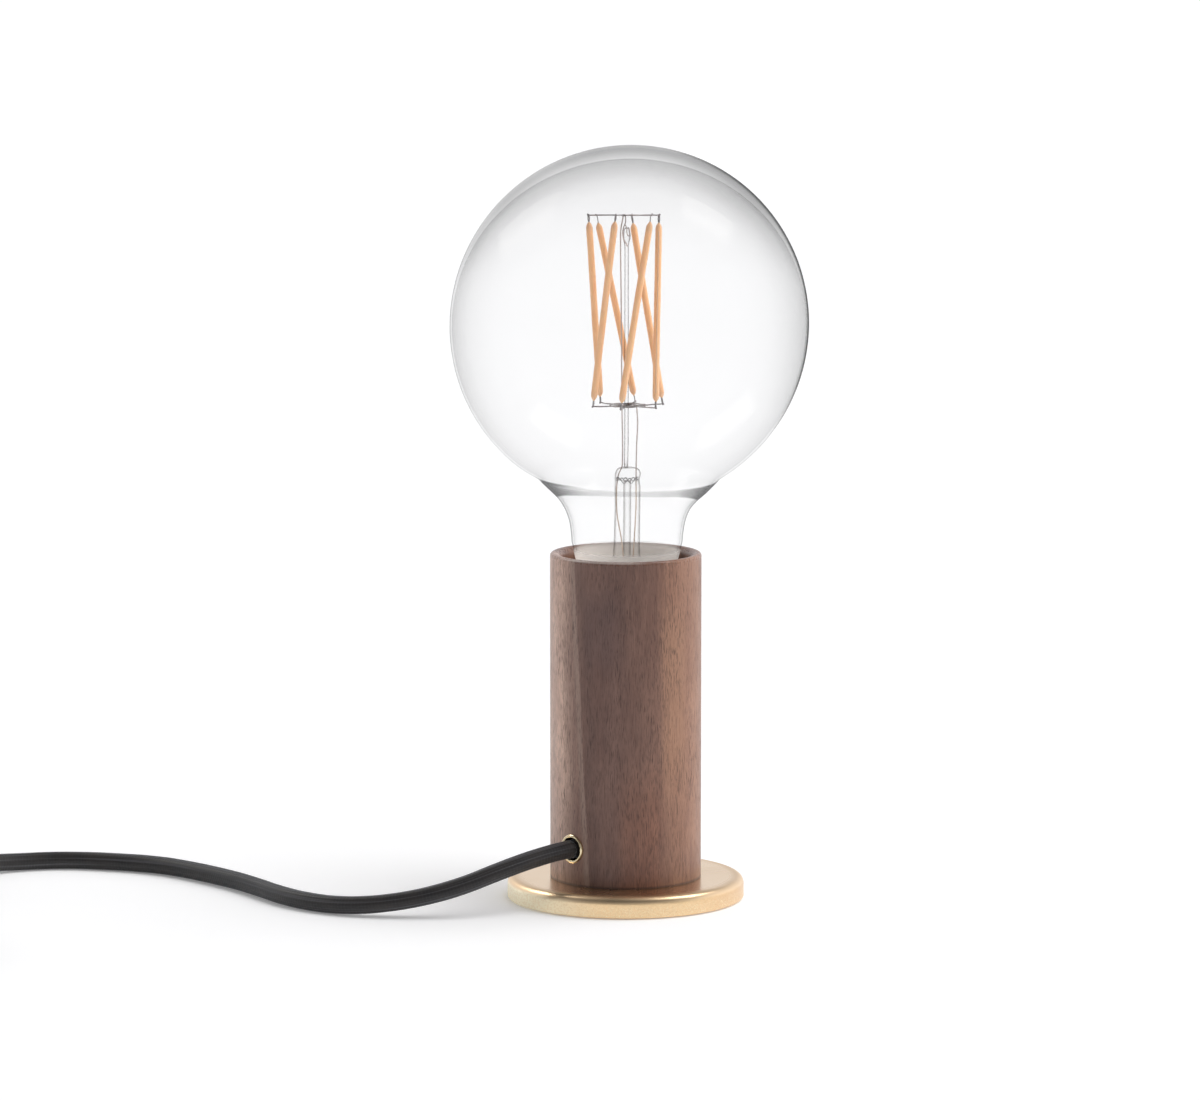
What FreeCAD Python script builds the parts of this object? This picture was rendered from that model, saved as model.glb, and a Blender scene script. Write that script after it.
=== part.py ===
# Bare bulb table lamp: a turned walnut column on a round brass disc, with a
# screw lampholder inside the column's mouth, a large clear globe bulb with a
# twisted cage of filament rods, and a fabric covered lead with an in-line
# rocker switch and a flat two-pin plug.
#
# Millimetres.  +Z up, origin on the lamp's axis at the surface it stands on,
# the lead leaves the column along -X.
import FreeCAD, Part
import math
import os
from FreeCAD import Vector as V, Rotation, Placement

doc = FreeCAD.newDocument("bulb_table_lamp")
sheet = doc.addObject("Spreadsheet::Sheet", "dims")

SIZES = [
    # base disc and its felt
    ("disc_rad", 41.65), ("disc_low", 0.4), ("disc_top", 7.65), ("disc_round", 2.6),
    ("felt_rad", 37.6), ("felt_recess", 38.0), ("felt_top", 1.4),
    ("screw_ring", 20.2), ("screw_shank", 1.9), ("screw_head", 4.0), ("screw_tip", 25.0),
    # walnut column
    ("col_rad", 26.53), ("col_top", 122.5), ("col_round", 1.15), ("mouth_rad", 22.4), ("mouth_round", 2.9),
    ("mouth_floor", 64.0), ("web_low", 56.0), ("chamber_rad", 14.0), ("web_hole", 5.2),
    ("lead_high", 20.5), ("lead_rad", 3.2), ("ferrule_out", 5.1), ("ferrule_in", 3.95), ("ferrule_proud", 27.1),
    # holder
    ("nip_out", 5.0), ("nip_in", 3.75), ("nip_low", 49.0), ("nip_top", 71.5),
    ("skirt_out", 19.75), ("skirt_in", 15.5), ("skirt_low", 76.0), ("skirt_top", 112.0), ("lip_in", 14.4),
    ("sleeve_in", 13.3), ("sleeve_out", 14.3), ("rib_in", 12.35), ("pitch", 3.629),
    # bulb
    ("globe_rad", 62.5), ("globe_mid", 202.3), ("glass_wall", 0.9),
    ("cap_low", 91.2), ("cap_top", 113.5), ("cap_in", 11.4), ("cap_out", 12.1), ("cap_crest", 13.0), ("tip_low", 86.8),
    ("cage_rad", 12.85), ("cage_top", 240.2), ("cage_low", 173.8), ("rod_rad", 1.1),
    # switch
    ("sw_long", 62.0), ("sw_wide", 22.0), ("sw_high", 17.0), ("sw_split", 6.5), ("sw_wall", 1.8),
    # plug
    ("plug_wide", 35.3), ("plug_thick", 13.7), ("plug_long", 36.0), ("pin_rad", 2.0), ("pin_apart", 18.6), ("pin_long", 19.0),
    # lead put away
    ("coil_out", 44.8), ("coil_in", 25.2), ("coil_high", 13.0),
]
S = {}
for i, (name, value) in enumerate(SIZES):
    sheet.set("A%d" % (i + 1), name)
    sheet.set("B%d" % (i + 1), "%.4f" % value)
    sheet.setAlias("B%d" % (i + 1), name)
    S[name] = value
doc.recompute()


def term(text):
    """Value and sheet expression of a product such as 2*col_rad."""
    value, words = 1.0, []
    for k, factor in enumerate(text.split("*")):
        factor = factor.strip()
        if factor in S:
            value *= S[factor]
            words.append("dims." + factor)
        else:
            value *= float(factor)
            words.append(factor)
    return value, " * ".join(words)


def size(text):
    """Value and sheet expression of a sum such as disc_top - disc_low + 0.2."""
    if not isinstance(text, str):
        return float(text), None
    value, words, sign = 0.0, "", 1.0
    for token in text.replace("-", "+-").split("+"):
        token = token.strip()
        if not token:
            continue
        sign = 1.0
        if token.startswith("-"):
            sign, token = -1.0, token[1:].strip()
        v, w = term(token)
        value += sign * v
        words += (" - " if sign < 0 else " + ") + w
    words = words.strip()
    words = "0 " + words if words.startswith("-") else words.lstrip("+ ")
    return value, words


def bind(obj, prop, text):
    value, words = size(text)
    if words is None:
        setattr(obj, prop, value)
    else:
        obj.setExpression(prop, words)
    return value


def plane(body, role):
    for f in body.Origin.OriginFeatures:
        if f.Role == role:
            return f
    raise RuntimeError(role)


def outline(body, name, pts, role="XZ_Plane"):
    """A closed polygon on one of the body's own planes, each corner held by the sheet."""
    sk = body.newObject("Sketcher::SketchObject", name)
    sk.AttachmentSupport = [(plane(body, role), "")]
    sk.MapMode = "FlatFace"
    vals = [(size(a), size(b)) for a, b in pts]
    n = len(vals)
    for k in range(n):
        (x0, _), (y0, _) = vals[k]
        (x1, _), (y1, _) = vals[(k + 1) % n]
        sk.addGeometry(Part.LineSegment(V(x0, y0, 0), V(x1, y1, 0)), False)
    for k in range(n):
        sk.addConstraint(Sketcher.Constraint("Coincident", k, 2, (k + 1) % n, 1))
    for k in range(n):
        for kind, (value, words) in (("DistanceX", vals[k][0]), ("DistanceY", vals[k][1])):
            c = sk.addConstraint(Sketcher.Constraint(kind, -1, 1, k, 1, value))
            if words is not None and any(ch.isalpha() for ch in words):
                sk.setExpression("Constraints[%d]" % c, words)
    return sk


import Sketcher

NODES = []


def node(obj, label):
    obj.Label = label
    NODES.append(obj)
    return obj


def turned(label, pts, keep=True):
    """A turned piece: a profile in (radius, height) spun once about the lamp's axis."""
    body = doc.addObject("PartDesign::Body", label)
    sk = outline(body, label + "_profile", pts)
    rev = body.newObject("PartDesign::Revolution", label + "_turned")
    rev.Profile = sk
    rev.ReferenceAxis = (sk, ["V_Axis"])
    rev.Angle = 360.0
    doc.recompute()
    if keep:
        node(body, label)
    return body


def rings(shape, wanted):
    """Names of the circular edges whose radius and height are asked for."""
    out = []
    for k, e in enumerate(shape.Edges):
        c = e.Curve
        if isinstance(c, Part.Circle):
            for r, z in wanted:
                if abs(c.Radius - r) < 0.02 and abs(c.Center.z - z) < 0.02 and abs(abs(c.Axis.z) - 1) < 1e-6:
                    out.append("Edge%d" % (k + 1))
    return out


def rounded(body, wanted, radius, name):
    tip = body.Tip
    f = body.newObject("PartDesign::Fillet", name)
    f.Base = (tip, rings(tip.Shape, wanted))
    bind(f, "Radius", radius)
    doc.recompute()
    return f


def prim(kind, name, place=(0, 0, 0), rot=None, **sizes):
    o = doc.addObject(kind, name)
    for k, t in sizes.items():
        bind(o, k, t)
    vals = [size(p) for p in place]
    o.Placement = Placement(V(*[v for v, _ in vals]), rot or Rotation())
    for axis, (v, w) in zip("xyz", vals):
        if w is not None and any(ch.isalpha() for ch in w):
            o.setExpression("Placement.Base." + axis, w)
    return o


def fuse(name, parts):
    o = doc.addObject("Part::MultiFuse", name)
    o.Shapes = parts
    return o


def cut(name, base, tools):
    t = tools[0] if len(tools) == 1 else fuse(name + "_tools", tools)
    o = doc.addObject("Part::Cut", name)
    o.Base = base
    o.Tool = t
    return o


def group(name, parts):
    o = doc.addObject("Part::Compound", name)
    o.Links = parts
    return o


def own(label, shape, place=None):
    """A piece whose surface no primitive or pad gives, built from curves."""
    o = doc.addObject("Part::Feature", label)
    o.Shape = shape
    if place is not None:
        o.Placement = place
    return node(o, label)


def spun(wire_pts_or_edges):
    face = Part.Face(Part.Wire(wire_pts_or_edges))
    return face.revolve(V(0, 0, 0), V(0, 0, 1), 360)


def line(a, b):
    return Part.LineSegment(V(a[0], 0, a[1]), V(b[0], 0, b[1])).toShape()


ALONG_X = Rotation(V(0, 1, 0), 90)
TWIST = lambda a: Rotation(V(0, 0, 1), a)

# ------------------------------------------------------------------ base disc
# Solid brass, a broad round-over on the top edge, a shallow recess for felt
# below and three countersunk holes for the wood screws.
disc = turned("base_disc_blank", [(0, "felt_top"), ("felt_recess", "felt_top"), ("felt_recess", "disc_low"),
                                  ("disc_rad", "disc_low"), ("disc_rad", "disc_top"), (0, "disc_top")], keep=False)
rounded(disc, [(S["disc_rad"], S["disc_top"])], "disc_round", "base_disc_roundover")
rounded(disc, [(S["disc_rad"], S["disc_low"])], 0.35, "base_disc_foot_edge")
tools = []
for k in range(3):
    a = math.radians(120.0 * k)
    x, y = S["screw_ring"] * math.cos(a), S["screw_ring"] * math.sin(a)
    tools.append(prim("Part::Cylinder", "screw_way_%d" % k, (x, y, 0.5), Radius="screw_shank + 0.15", Height=8.0))
    tools.append(prim("Part::Cone", "screw_sink_%d" % k, (x, y, 1.3), Radius1="screw_head + 0.2", Radius2="screw_shank + 0.15", Height=2.35))
for s in (-1, 1):
    tools.append(prim("Part::Cylinder", "grip_tap_%d" % s, (0, s * 7.0, 3.0), Radius=1.5, Height=6.0))
node(cut("base_disc", disc, tools), "base_disc")

turned("felt_pad", [(0, 0), ("felt_rad", 0), ("felt_rad", "felt_top"), (0, "felt_top")])

screws = []
for k in range(3):
    a = math.radians(120.0 * k)
    x, y = S["screw_ring"] * math.cos(a), S["screw_ring"] * math.sin(a)
    head = prim("Part::Cone", "screw_head_%d" % k, (x, y, 1.45), Radius1="screw_head", Radius2="screw_shank", Height=2.2)
    shank = prim("Part::Cylinder", "screw_shank_%d" % k, (x, y, 3.65), Radius="screw_shank", Height=6.4)
    thread = prim("Part::Cylinder", "screw_thread_%d" % k, (x, y, 10.05), Radius=1.55, Height="screw_tip - 12.65")
    tip = prim("Part::Cone", "screw_point_%d" % k, (x, y, "screw_tip - 2.6"), Radius1=1.55, Radius2=0.25, Height=2.6)
    slot = [prim("Part::Box", "screw_slot_%d_%d" % (k, t), (x, y, 1.4), TWIST(90.0 * t), Length=4.4, Width=0.9, Height=1.3) for t in (0, 1)]
    for t, b in enumerate(slot):
        b.Placement = Placement(V(x, y, 1.4), TWIST(90.0 * t)).multiply(Placement(V(-2.2, -0.45, 0), Rotation()))
    screws.append(cut("base_screw_%d" % k, fuse("base_screw_body_%d" % k, [head, shank, thread, tip]), slot))
node(group("base_screws", screws), "base_screws")

# ------------------------------------------------------------------ walnut column
col = turned("column_blank", [("chamber_rad", "disc_top"), ("col_rad", "disc_top"), ("col_rad", "col_top"),
                              ("mouth_rad", "col_top"), ("mouth_rad", "mouth_floor"), ("web_hole", "mouth_floor"),
                              ("web_hole", "web_low"), ("chamber_rad", "web_low")], keep=False)
rounded(col, [(S["mouth_rad"], S["col_top"])], "mouth_round", "mouth_inner_lip")
rounded(col, [(S["col_rad"], S["col_top"])], "col_round", "mouth_outer_lip")
tools = [prim("Part::Cylinder", "lead_way", (-30, 0, "lead_high"), ALONG_X, Radius="ferrule_out + 0.05", Height=20.0)]
for k in range(3):
    a = math.radians(120.0 * k)
    x, y = S["screw_ring"] * math.cos(a), S["screw_ring"] * math.sin(a)
    tools.append(prim("Part::Cylinder", "pilot_%d" % k, (x, y, 7.0), Radius="screw_shank + 0.05", Height=3.2))
    tools.append(prim("Part::Cylinder", "pilot_deep_%d" % k, (x, y, 10.0), Radius=1.6, Height="screw_tip - 9.6"))
node(cut("walnut_column", col, tools), "walnut_column")

# brass ferrule: a thin sleeve with a rolled lip, pressed into the side of the column
ferr = doc.addObject("PartDesign::Body", "cord_ferrule")
sk = outline(ferr, "ferrule_profile", [("ferrule_in", 0), ("ferrule_out", 0), ("ferrule_out", 11.0), ("ferrule_in", 11.0)])
rev = ferr.newObject("PartDesign::Revolution", "ferrule_turned")
rev.Profile = sk
rev.ReferenceAxis = (sk, ["V_Axis"])
rev.Angle = 360.0
doc.recompute()
rounded(ferr, [(S["ferrule_out"], 0.0), (S["ferrule_in"], 0.0)], 0.5, "ferrule_rolled_lip")
ferr.Placement = Placement(V(-S["ferrule_proud"], 0, S["lead_high"]), ALONG_X)
node(ferr, "cord_ferrule")

# ------------------------------------------------------------------ lead inside the column
own("cord_inside", Part.makeCylinder(S["lead_rad"], S["ferrule_proud"] + 7.0, V(-S["ferrule_proud"], 0, S["lead_high"]), V(1, 0, 0)))

block = prim("Part::Box", "grip_block_stock", (-5.5, -10.5, "disc_top"), Length=11.0, Width=21.0, Height="lead_high - disc_top - 0.4")
node(cut("grip_block", block, [
    prim("Part::Cylinder", "grip_groove", (-6.5, 0, "lead_high"), ALONG_X, Radius="lead_rad + 0.05", Height=13.0),
    prim("Part::Cylinder", "grip_hole_a", (0, -7.0, 7.0), Radius=1.55, Height=16.0),
    prim("Part::Cylinder", "grip_hole_b", (0, 7.0, 7.0), Radius=1.55, Height=16.0)]), "grip_block")
strap = prim("Part::Box", "grip_strap_stock", (-4.0, -10.5, "lead_high + 0.4"), Length=8.0, Width=21.0, Height=4.6)
node(cut("grip_strap", strap, [
    prim("Part::Cylinder", "strap_groove", (-6.5, 0, "lead_high"), ALONG_X, Radius="lead_rad + 0.05", Height=13.0),
    prim("Part::Cylinder", "strap_hole_a", (0, -7.0, 18.0), Radius=1.7, Height=12.0),
    prim("Part::Cylinder", "strap_hole_b", (0, 7.0, 18.0), Radius=1.7, Height=12.0)]), "grip_strap")
gs = []
for s in (-1, 1):
    stem = prim("Part::Cylinder", "grip_screw_stem_%d" % (s + 1), (0, 7.0 * s, 3.3), Radius=1.45, Height=22.3)
    hd = prim("Part::Cylinder", "grip_screw_head_%d" % (s + 1), (0, 7.0 * s, 25.55), Radius=2.75, Height=2.0)
    sl = prim("Part::Box", "grip_screw_slot_%d" % (s + 1), (-3.0, 7.0 * s - 0.35, 26.75), Length=6.0, Width=0.7, Height=1.2)
    gs.append(cut("grip_screw_%d" % (s + 1), fuse("grip_screw_body_%d" % (s + 1), [stem, hd]), [sl]))
node(group("grip_screws", gs), "grip_screws")


def chain(pts, share=0.45):
    """Straight runs joined by tangent arcs; returns the wire and each bend's radius."""
    P = [V(*p) for p in pts]
    edges, radii, start = [], [], P[0]
    for k in range(1, len(P) - 1):
        a, b, c = P[k - 1], P[k], P[k + 1]
        u, w = (b - a), (c - b)
        lu, lw = u.Length, w.Length
        u, w = u / lu, w / lw
        turn = math.acos(max(-1.0, min(1.0, u.dot(w))))
        t = share * min(lu, lw)
        r = t / math.tan(turn / 2)
        radii.append(r)
        s, e = b - u * t, b + w * t
        inward = (w - u).normalize()
        centre_off = r / math.cos(turn / 2)
        m = b + inward * (centre_off - r)
        edges.append(Part.LineSegment(start, s).toShape())
        edges.append(Part.Arc(s, m, e).toShape())
        start = e
    edges.append(Part.LineSegment(start, P[-1]).toShape())
    return Part.Wire(edges), radii


def tube(label, pts, radius, say=True):
    wire, radii = chain(pts)
    d = (V(*pts[1]) - V(*pts[0])).normalize()
    ring = Part.Wire([Part.Circle(V(*pts[0]), d, radius).toShape()])
    solid = wire.makePipeShell([ring], True, False)
    want = math.pi * radius * radius * wire.Length
    if abs(solid.Volume / want - 1) > 0.005:
        raise RuntimeError("%s volume %.1f, section times length %.1f" % (label, solid.Volume, want))
    if say:
        print("%s: length %.1f mm, bend radii %s" % (label, wire.Length, " ".join("%.0f" % r for r in radii)))
    return solid, wire.Length


# the two cores rise from the stripped end, through the hollow stem, to the terminals
for label, s in (("wire_live", 1), ("wire_neutral", -1)):
    w, n = tube(label, [(7.02, 1.5 * s, 20.5), (9.7, 1.5 * s, 20.5), (11.2, 1.7 * s, 23.8), (10.7, 1.9 * s, 30.5), (6.0, 2.2 * s, 38.0),
                        (0.8, 1.9 * s, 46.0), (0.1, 1.75 * s, 56.0), (0.0, 1.75 * s, 66.0), (0.2, 2.3 * s, 73.5),
                        (0.0, 5.0 * s, 75.0), (0, 8.2 * s, 75.2)], 1.05)
    own(label, w)

# ------------------------------------------------------------------ holder stem
turned("stem_tube", [("nip_in", "nip_low"), ("nip_out", "nip_low"), ("nip_out", "nip_top"), ("nip_in", "nip_top")])
turned("stem_washer", [("nip_out + 0.1", "web_low - 1.0"), (9.0, "web_low - 1.0"), (9.0, "web_low"), ("nip_out + 0.1", "web_low")])
nutb = doc.addObject("PartDesign::Body", "stem_nut")
sk = nutb.newObject("Sketcher::SketchObject", "nut_outline")
sk.AttachmentSupport = [(plane(nutb, "XY_Plane"), "")]
sk.MapMode = "FlatFace"
hexr = 7.0 / math.cos(math.radians(30))
hp = [V(hexr * math.cos(math.radians(60 * k)), hexr * math.sin(math.radians(60 * k)), 0) for k in range(6)]
for k in range(6):
    sk.addGeometry(Part.LineSegment(hp[k], hp[(k + 1) % 6]), False)
for k in range(6):
    sk.addConstraint(Sketcher.Constraint("Coincident", k, 2, (k + 1) % 6, 1))
for k in range(6):
    sk.addConstraint(Sketcher.Constraint("DistanceX", -1, 1, k, 1, hp[k].x))
    sk.addConstraint(Sketcher.Constraint("DistanceY", -1, 1, k, 1, hp[k].y))
sk.addGeometry(Part.Circle(V(0, 0, 0), V(0, 0, 1), S["nip_out"] + 0.05), False)
sk.addConstraint(Sketcher.Constraint("Coincident", 6, 3, -1, 1))
c = sk.addConstraint(Sketcher.Constraint("Radius", 6, S["nip_out"] + 0.05))
sk.setExpression("Constraints[%d]" % c, "dims.nip_out + 0.05")
pad = nutb.newObject("PartDesign::Pad", "nut_pad")
pad.Profile = sk
pad.Length = 3.0
doc.recompute()
nutb.Placement = Placement(V(0, 0, S["web_low"] - 4.05), Rotation())
node(nutb, "stem_nut")

# ------------------------------------------------------------------ lampholder
turned("holder_dome", [("nip_out + 0.05", "mouth_floor"), (13.5, "mouth_floor"), (18.5, "mouth_floor + 5"),
                       (18.5, 80.0), (17.0, 80.0), (17.0, 76.45), (15.4, 76.45), (15.4, "mouth_floor + 5.8"), (12.0, "mouth_floor + 2.4"),
                       (7.5, "mouth_floor + 2.4"), (7.5, 70.4), ("nip_out + 0.05", 70.4)])
sk_ = turned("holder_skirt", [(18.65, "skirt_low"), ("skirt_out", "skirt_low"), ("skirt_out", "skirt_top"),
                              ("lip_in", "skirt_top"), ("lip_in", "skirt_top - 1.6"), ("skirt_in", "skirt_top - 1.6"),
                              ("skirt_in", 84.5), (18.65, 84.5)])
rounded(sk_, [(S["skirt_out"], S["skirt_top"])], 1.0, "skirt_top_edge")

# ceramic insert that carries the contacts; pockets below hold the terminals
ins = turned("insert_blank", [(0, 76.5), (16.6, 76.5), (16.6, 82.0), (0, 82.0)], keep=False)
cuts = []
for s in (-1, 1):
    cuts.append(prim("Part::Box", "terminal_pocket_%d" % (s + 1), (-3.6, (7.0 if s > 0 else -13.0), 76.0), Length=7.2, Width=6.0, Height=3.2))
cuts.append(prim("Part::Cylinder", "insert_middle", (0, 0, 76.0), Radius=2.2, Height=7.0))
for s in (-1, 1):
    cuts.append(prim("Part::Cylinder", "insert_rivet_hole_%d" % (s + 1), (0, 10.0 * s, 78.0), Radius=1.35, Height=5.0))
node(cut("holder_insert", ins, cuts), "holder_insert")

# brass terminals with their rivets, clamp screws seen from below
for label, s in (("terminal_live", 1), ("terminal_neutral", -1)):
    y0 = 7.1 if s > 0 else -12.9
    blk = prim("Part::Box", label + "_block", (-3.5, y0, 73.3), Length=7.0, Width=5.8, Height=5.8)
    riv = prim("Part::Cylinder", label + "_rivet", (0, 10.0 * s, 79.0), Radius=1.25, Height=(3.0 if s > 0 else 3.0))
    bore = prim("Part::Cylinder", label + "_wire_hole", (0, 7.0 * s, 75.2), Rotation(V(1, 0, 0), -90.0 * s), Radius=1.15, Height=3.4)
    tap = prim("Part::Cylinder", label + "_tap", (0, 10.0 * s, 73.0), Radius=1.3, Height=1.0)
    node(cut(label, fuse(label + "_body", [blk, riv]), [bore, tap]), label)
ts = []
for s in (-1, 1):
    st = prim("Part::Cylinder", "terminal_screw_stem_%d" % (s + 1), (0, 10.0 * s, 71.9), Radius=1.2, Height=2.0)
    hd = prim("Part::Cylinder", "terminal_screw_head_%d" % (s + 1), (0, 10.0 * s, 70.6), Radius=2.2, Height=1.3)
    sl = prim("Part::Box", "terminal_screw_slot_%d" % (s + 1), (-2.5, 10.0 * s - 0.3, 70.5), Length=5.0, Width=0.6, Height=0.7)
    ts.append(cut("terminal_screw_%d" % (s + 1), fuse("terminal_screw_body_%d" % (s + 1), [st, hd]), [sl]))
node(group("terminal_screws", ts), "terminal_screws")

# threaded brass sleeve: a thin tube with a rolled-in screw rib, on a foot ring
def ridge(body, name, pts, z0, turns, outside=True):
    """A screw rib: a four-sided profile carried up a helix of the cap's pitch."""
    sk = outline(body, name + "_section", pts)
    h = body.newObject("PartDesign::AdditiveHelix", name)
    h.Profile = sk
    h.ReferenceAxis = (sk, ["V_Axis"])
    h.Mode = "pitch-turns-angle"
    h.setExpression("Pitch", "dims.pitch")
    h.Turns = turns
    h.Angle = 0.0
    h.LeftHanded = False
    h.Reversed = False
    doc.recompute()
    return h


sleeve = turned("thread_sleeve", [("sleeve_in", 84.6), ("sleeve_out", 84.6), ("sleeve_out", "skirt_top - 1.6"), ("sleeve_in", "skirt_top - 1.6")])
half = 0.5 * S["pitch"]
ridge(sleeve, "sleeve_rib", [("rib_in", 92.9 - 0.35 + half), ("sleeve_in + 0.3", 92.9 - 0.75 + half),
                             ("sleeve_in + 0.3", 92.9 + 0.75 + half), ("rib_in", 92.9 + 0.35 + half)], 92.9, 3.6)

foot = prim("Part::Cylinder", "sleeve_foot_plate", (0, 0, 82.0), Radius="sleeve_out", Height=0.6)
node(cut("sleeve_foot", fuse("sleeve_foot_body", [foot, prim("Part::Cylinder", "sleeve_foot_wall", (0, 0, 82.0), Radius="sleeve_out", Height=2.6)]),
         [prim("Part::Cylinder", "sleeve_foot_way", (0, 0, 81.0), Radius="rib_in + 0.45", Height=5.0)]), "sleeve_foot")
tab = prim("Part::Box", "neutral_strap_tab", (-2.0, -12.6, 82.0), Length=4.0, Width=4.6, Height=0.5)
node(cut("neutral_strap", tab, [prim("Part::Cylinder", "neutral_strap_trim", (0, -9.0, 84.0), Radius=0.3, Height=1.0)]), "neutral_strap")

# centre contact: a springy strip riveted at one side, humped under the bulb's tip
pts = [(0, 11.2, 82.0), (0, 6.2, 82.0), (0, 2.4, 85.6), (0, 0.9, 86.1), (0, -0.9, 86.1), (0, -2.4, 85.2), (0, -3.6, 83.4)]
prof = []
t = 0.5
up = [(p[1], p[2] + t) for p in pts]
lo = [(p[1], p[2]) for p in pts]
ring_pts = [V(-2.5, a, b) for a, b in lo] + [V(-2.5, a, b) for a, b in reversed(up)]
face = Part.Face(Part.makePolygon(ring_pts + [ring_pts[0]]))
own("centre_contact", face.extrude(V(5.0, 0, 0)))

# ------------------------------------------------------------------ bulb: metal cap
cap = turned("bulb_cap", [("cap_in", "cap_low"), ("cap_out", "cap_low"), ("cap_out", "cap_top - 2.4"), (12.9, "cap_top - 1.2"),
                          (12.9, "cap_top"), (12.3, "cap_top"), (12.3, "cap_top - 1.0"), ("cap_in", "cap_top - 2.1")])
ridge(cap, "cap_rib", [("cap_out - 0.3", 92.9 - 1.0), ("cap_crest", 92.9 - 0.42), ("cap_crest", 92.9 + 0.42), ("cap_out - 0.3", 92.9 + 1.0)], 92.9, 4.4)

ins2 = turned("cap_insulator", [(3.0, 87.75), (5.2, 87.75), (11.3, 91.2), (11.3, 93.4), (3.0, 93.4)])
turned("cap_contact", [(0, "tip_low"), (4.4, "tip_low"), (5.0, "tip_low + 0.4"), (5.0, "tip_low + 0.65"), (2.95, "tip_low + 0.65"), (2.95, 91.0), (0, 91.0)])

# ------------------------------------------------------------------ bulb: glass
R, ZC, W = S["globe_rad"], S["globe_mid"], S["glass_wall"]
neck = [(30.9, 147.4), (27.4, 144.6), (24.5, 141.9), (22.55, 139.1), (21.2, 136.3), (20.3, 133.5), (19.8, 130.7), (19.5, 127.9), (19.4, 126.3),
        (18.9, 124.4), (18.3, 121.6), (17.2, 118.3), (15.2, 115.4), (12.3, 113.3), (11.0, 110.7), (10.8, 107.0), (10.8, 104.0)]


def skin(inset):
    r = R - inset
    z0 = 148.9
    x0 = math.sqrt(R * R - (ZC - z0) ** 2)
    k = r / R
    a = V(x0 * k, 0, ZC + (z0 - ZC) * k)
    arc = Part.Arc(V(0, 0, ZC + r), V(r * math.cos(0.25), 0, ZC + r * math.sin(0.25)), a).toShape()
    pts = [a]
    prev = (x0, z0)
    full = [(x0, z0)] + neck
    for i in range(1, len(full)):
        p0 = full[i - 1]
        p1 = full[min(i + 1, len(full) - 1)]
        dx, dz = p1[0] - p0[0], p1[1] - p0[1]
        L = math.hypot(dx, dz)
        nx, nz = (dz / L, -dx / L)
        pts.append(V(full[i][0] + nx * inset, 0, full[i][1] + nz * inset))
    sp = Part.BSplineCurve()
    sp.interpolate(pts)
    return arc, sp.toShape(), pts[-1]


arc_o, sp_o, end_o = skin(0.0)
arc_i, sp_i, end_i = skin(W)
end_i = V(end_i.x, 0, end_o.z)
arc_i, sp_i, last_i = skin(W)
edges = [arc_o, sp_o, Part.LineSegment(end_o, last_i).toShape(), sp_i, arc_i, Part.LineSegment(V(0, 0, ZC + R - W), V(0, 0, ZC + R)).toShape()]
edges = Part.__sortEdges__(edges)
own("glass_globe", spun(edges))

# stem of the glass: a flared tube sealed to the foot of the neck, pinched shut at the top
so = [(9.75, 104.1), (9.2, 106.5), (7.4, 110.5), (5.8, 115.0), (4.9, 120.0), (4.6, 126.0)]
si = [(9.0, 104.1), (8.4, 106.4), (6.6, 110.4), (5.0, 115.0), (4.1, 120.0), (3.8, 126.0)]
b1 = Part.BSplineCurve(); b1.interpolate([V(a, 0, b) for a, b in so])
b2 = Part.BSplineCurve(); b2.interpolate([V(a, 0, b) for a, b in si])
e = [b1.toShape(), line((4.6, 126.0), (4.6, 149.6)),
     Part.Arc(V(4.6, 0, 149.6), V(3.85, 0, 151.4), V(2.0, 0, 152.1)).toShape(), line((2.0, 152.1), (0, 152.1)), line((0, 152.1), (0, 143.0)),
     Part.Arc(V(0, 0, 143.0), V(2.7, 0, 141.9), V(3.8, 0, 139.2)).toShape(), line((3.8, 139.2), (3.8, 126.0)), b2.toShape(), line((9.0, 104.1), (9.75, 104.1))]
stem = spun(Part.__sortEdges__(e))
for s in (-1, 1):
    stem = stem.cut(Part.makeCylinder(0.4, 14.0, V(3.3 * s, 0, 139.5)))
stem = stem.cut(Part.makeCylinder(0.8, 8.0, V(0, 0, 147.5)))
own("glass_stem", stem)

turned("exhaust_tube", [(0.8, 100.5), (1.5, 100.5), (1.5, 142.2), (0.8, 142.2)])
rod = turned("support_rod", [(0, 147.6), (0.75, 147.6), (0.75, 230.4), (1.3, 232.0), (1.35, 234.2), (1.0, 235.6), (0, 236.2)])
turned("neck_seal", [(9.8, 104.0), (10.75, 104.0), (10.75, 103.0), (9.0, 103.0), (9.0, 104.0)])
turned("cap_cement", [(10.85, 105.0), (11.35, 105.0), (11.35, 110.2), (11.05, 110.2), (10.85, 107.0)])

# filament cage: six rods between two stars, each turned back a sixth of a turn on its way down
CR, ZT, ZB = S["cage_rad"], S["cage_top"], S["cage_low"]
TURN = -45.0


def at(theta, z, r=None):
    a = math.radians(theta + TURN)
    r = CR if r is None else r
    return V(r * math.cos(a), r * math.sin(a), z)


rods, pins = [], []
for k in range(6):
    p = at(14.0 + 60 * k, ZT)
    q = at(14.0 + 60 * k - 58.5, ZB)
    u = (q - p).normalize()
    L = (q - p).Length
    a, b = p + u * 2.3, q - u * 2.3
    body = Part.makeCylinder(S["rod_rad"], (b - a).Length, a, u)
    body = body.fuse([Part.makeSphere(S["rod_rad"], a), Part.makeSphere(S["rod_rad"], b)]).removeSplitter()
    for c0, d0 in ((p, u), (q, u * -1)):
        c1 = c0 + d0 * 0.35
        body = body.cut(Part.makeCylinder(0.4, 3.0, c1, d0))
        pins.append(Part.makeCylinder(0.38, 3.35, c0 - d0 * 0.0, d0))
    rods.append(body)
own("filament_rods", Part.makeCompound(rods))
own("filament_pins", Part.makeCompound(pins))


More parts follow.
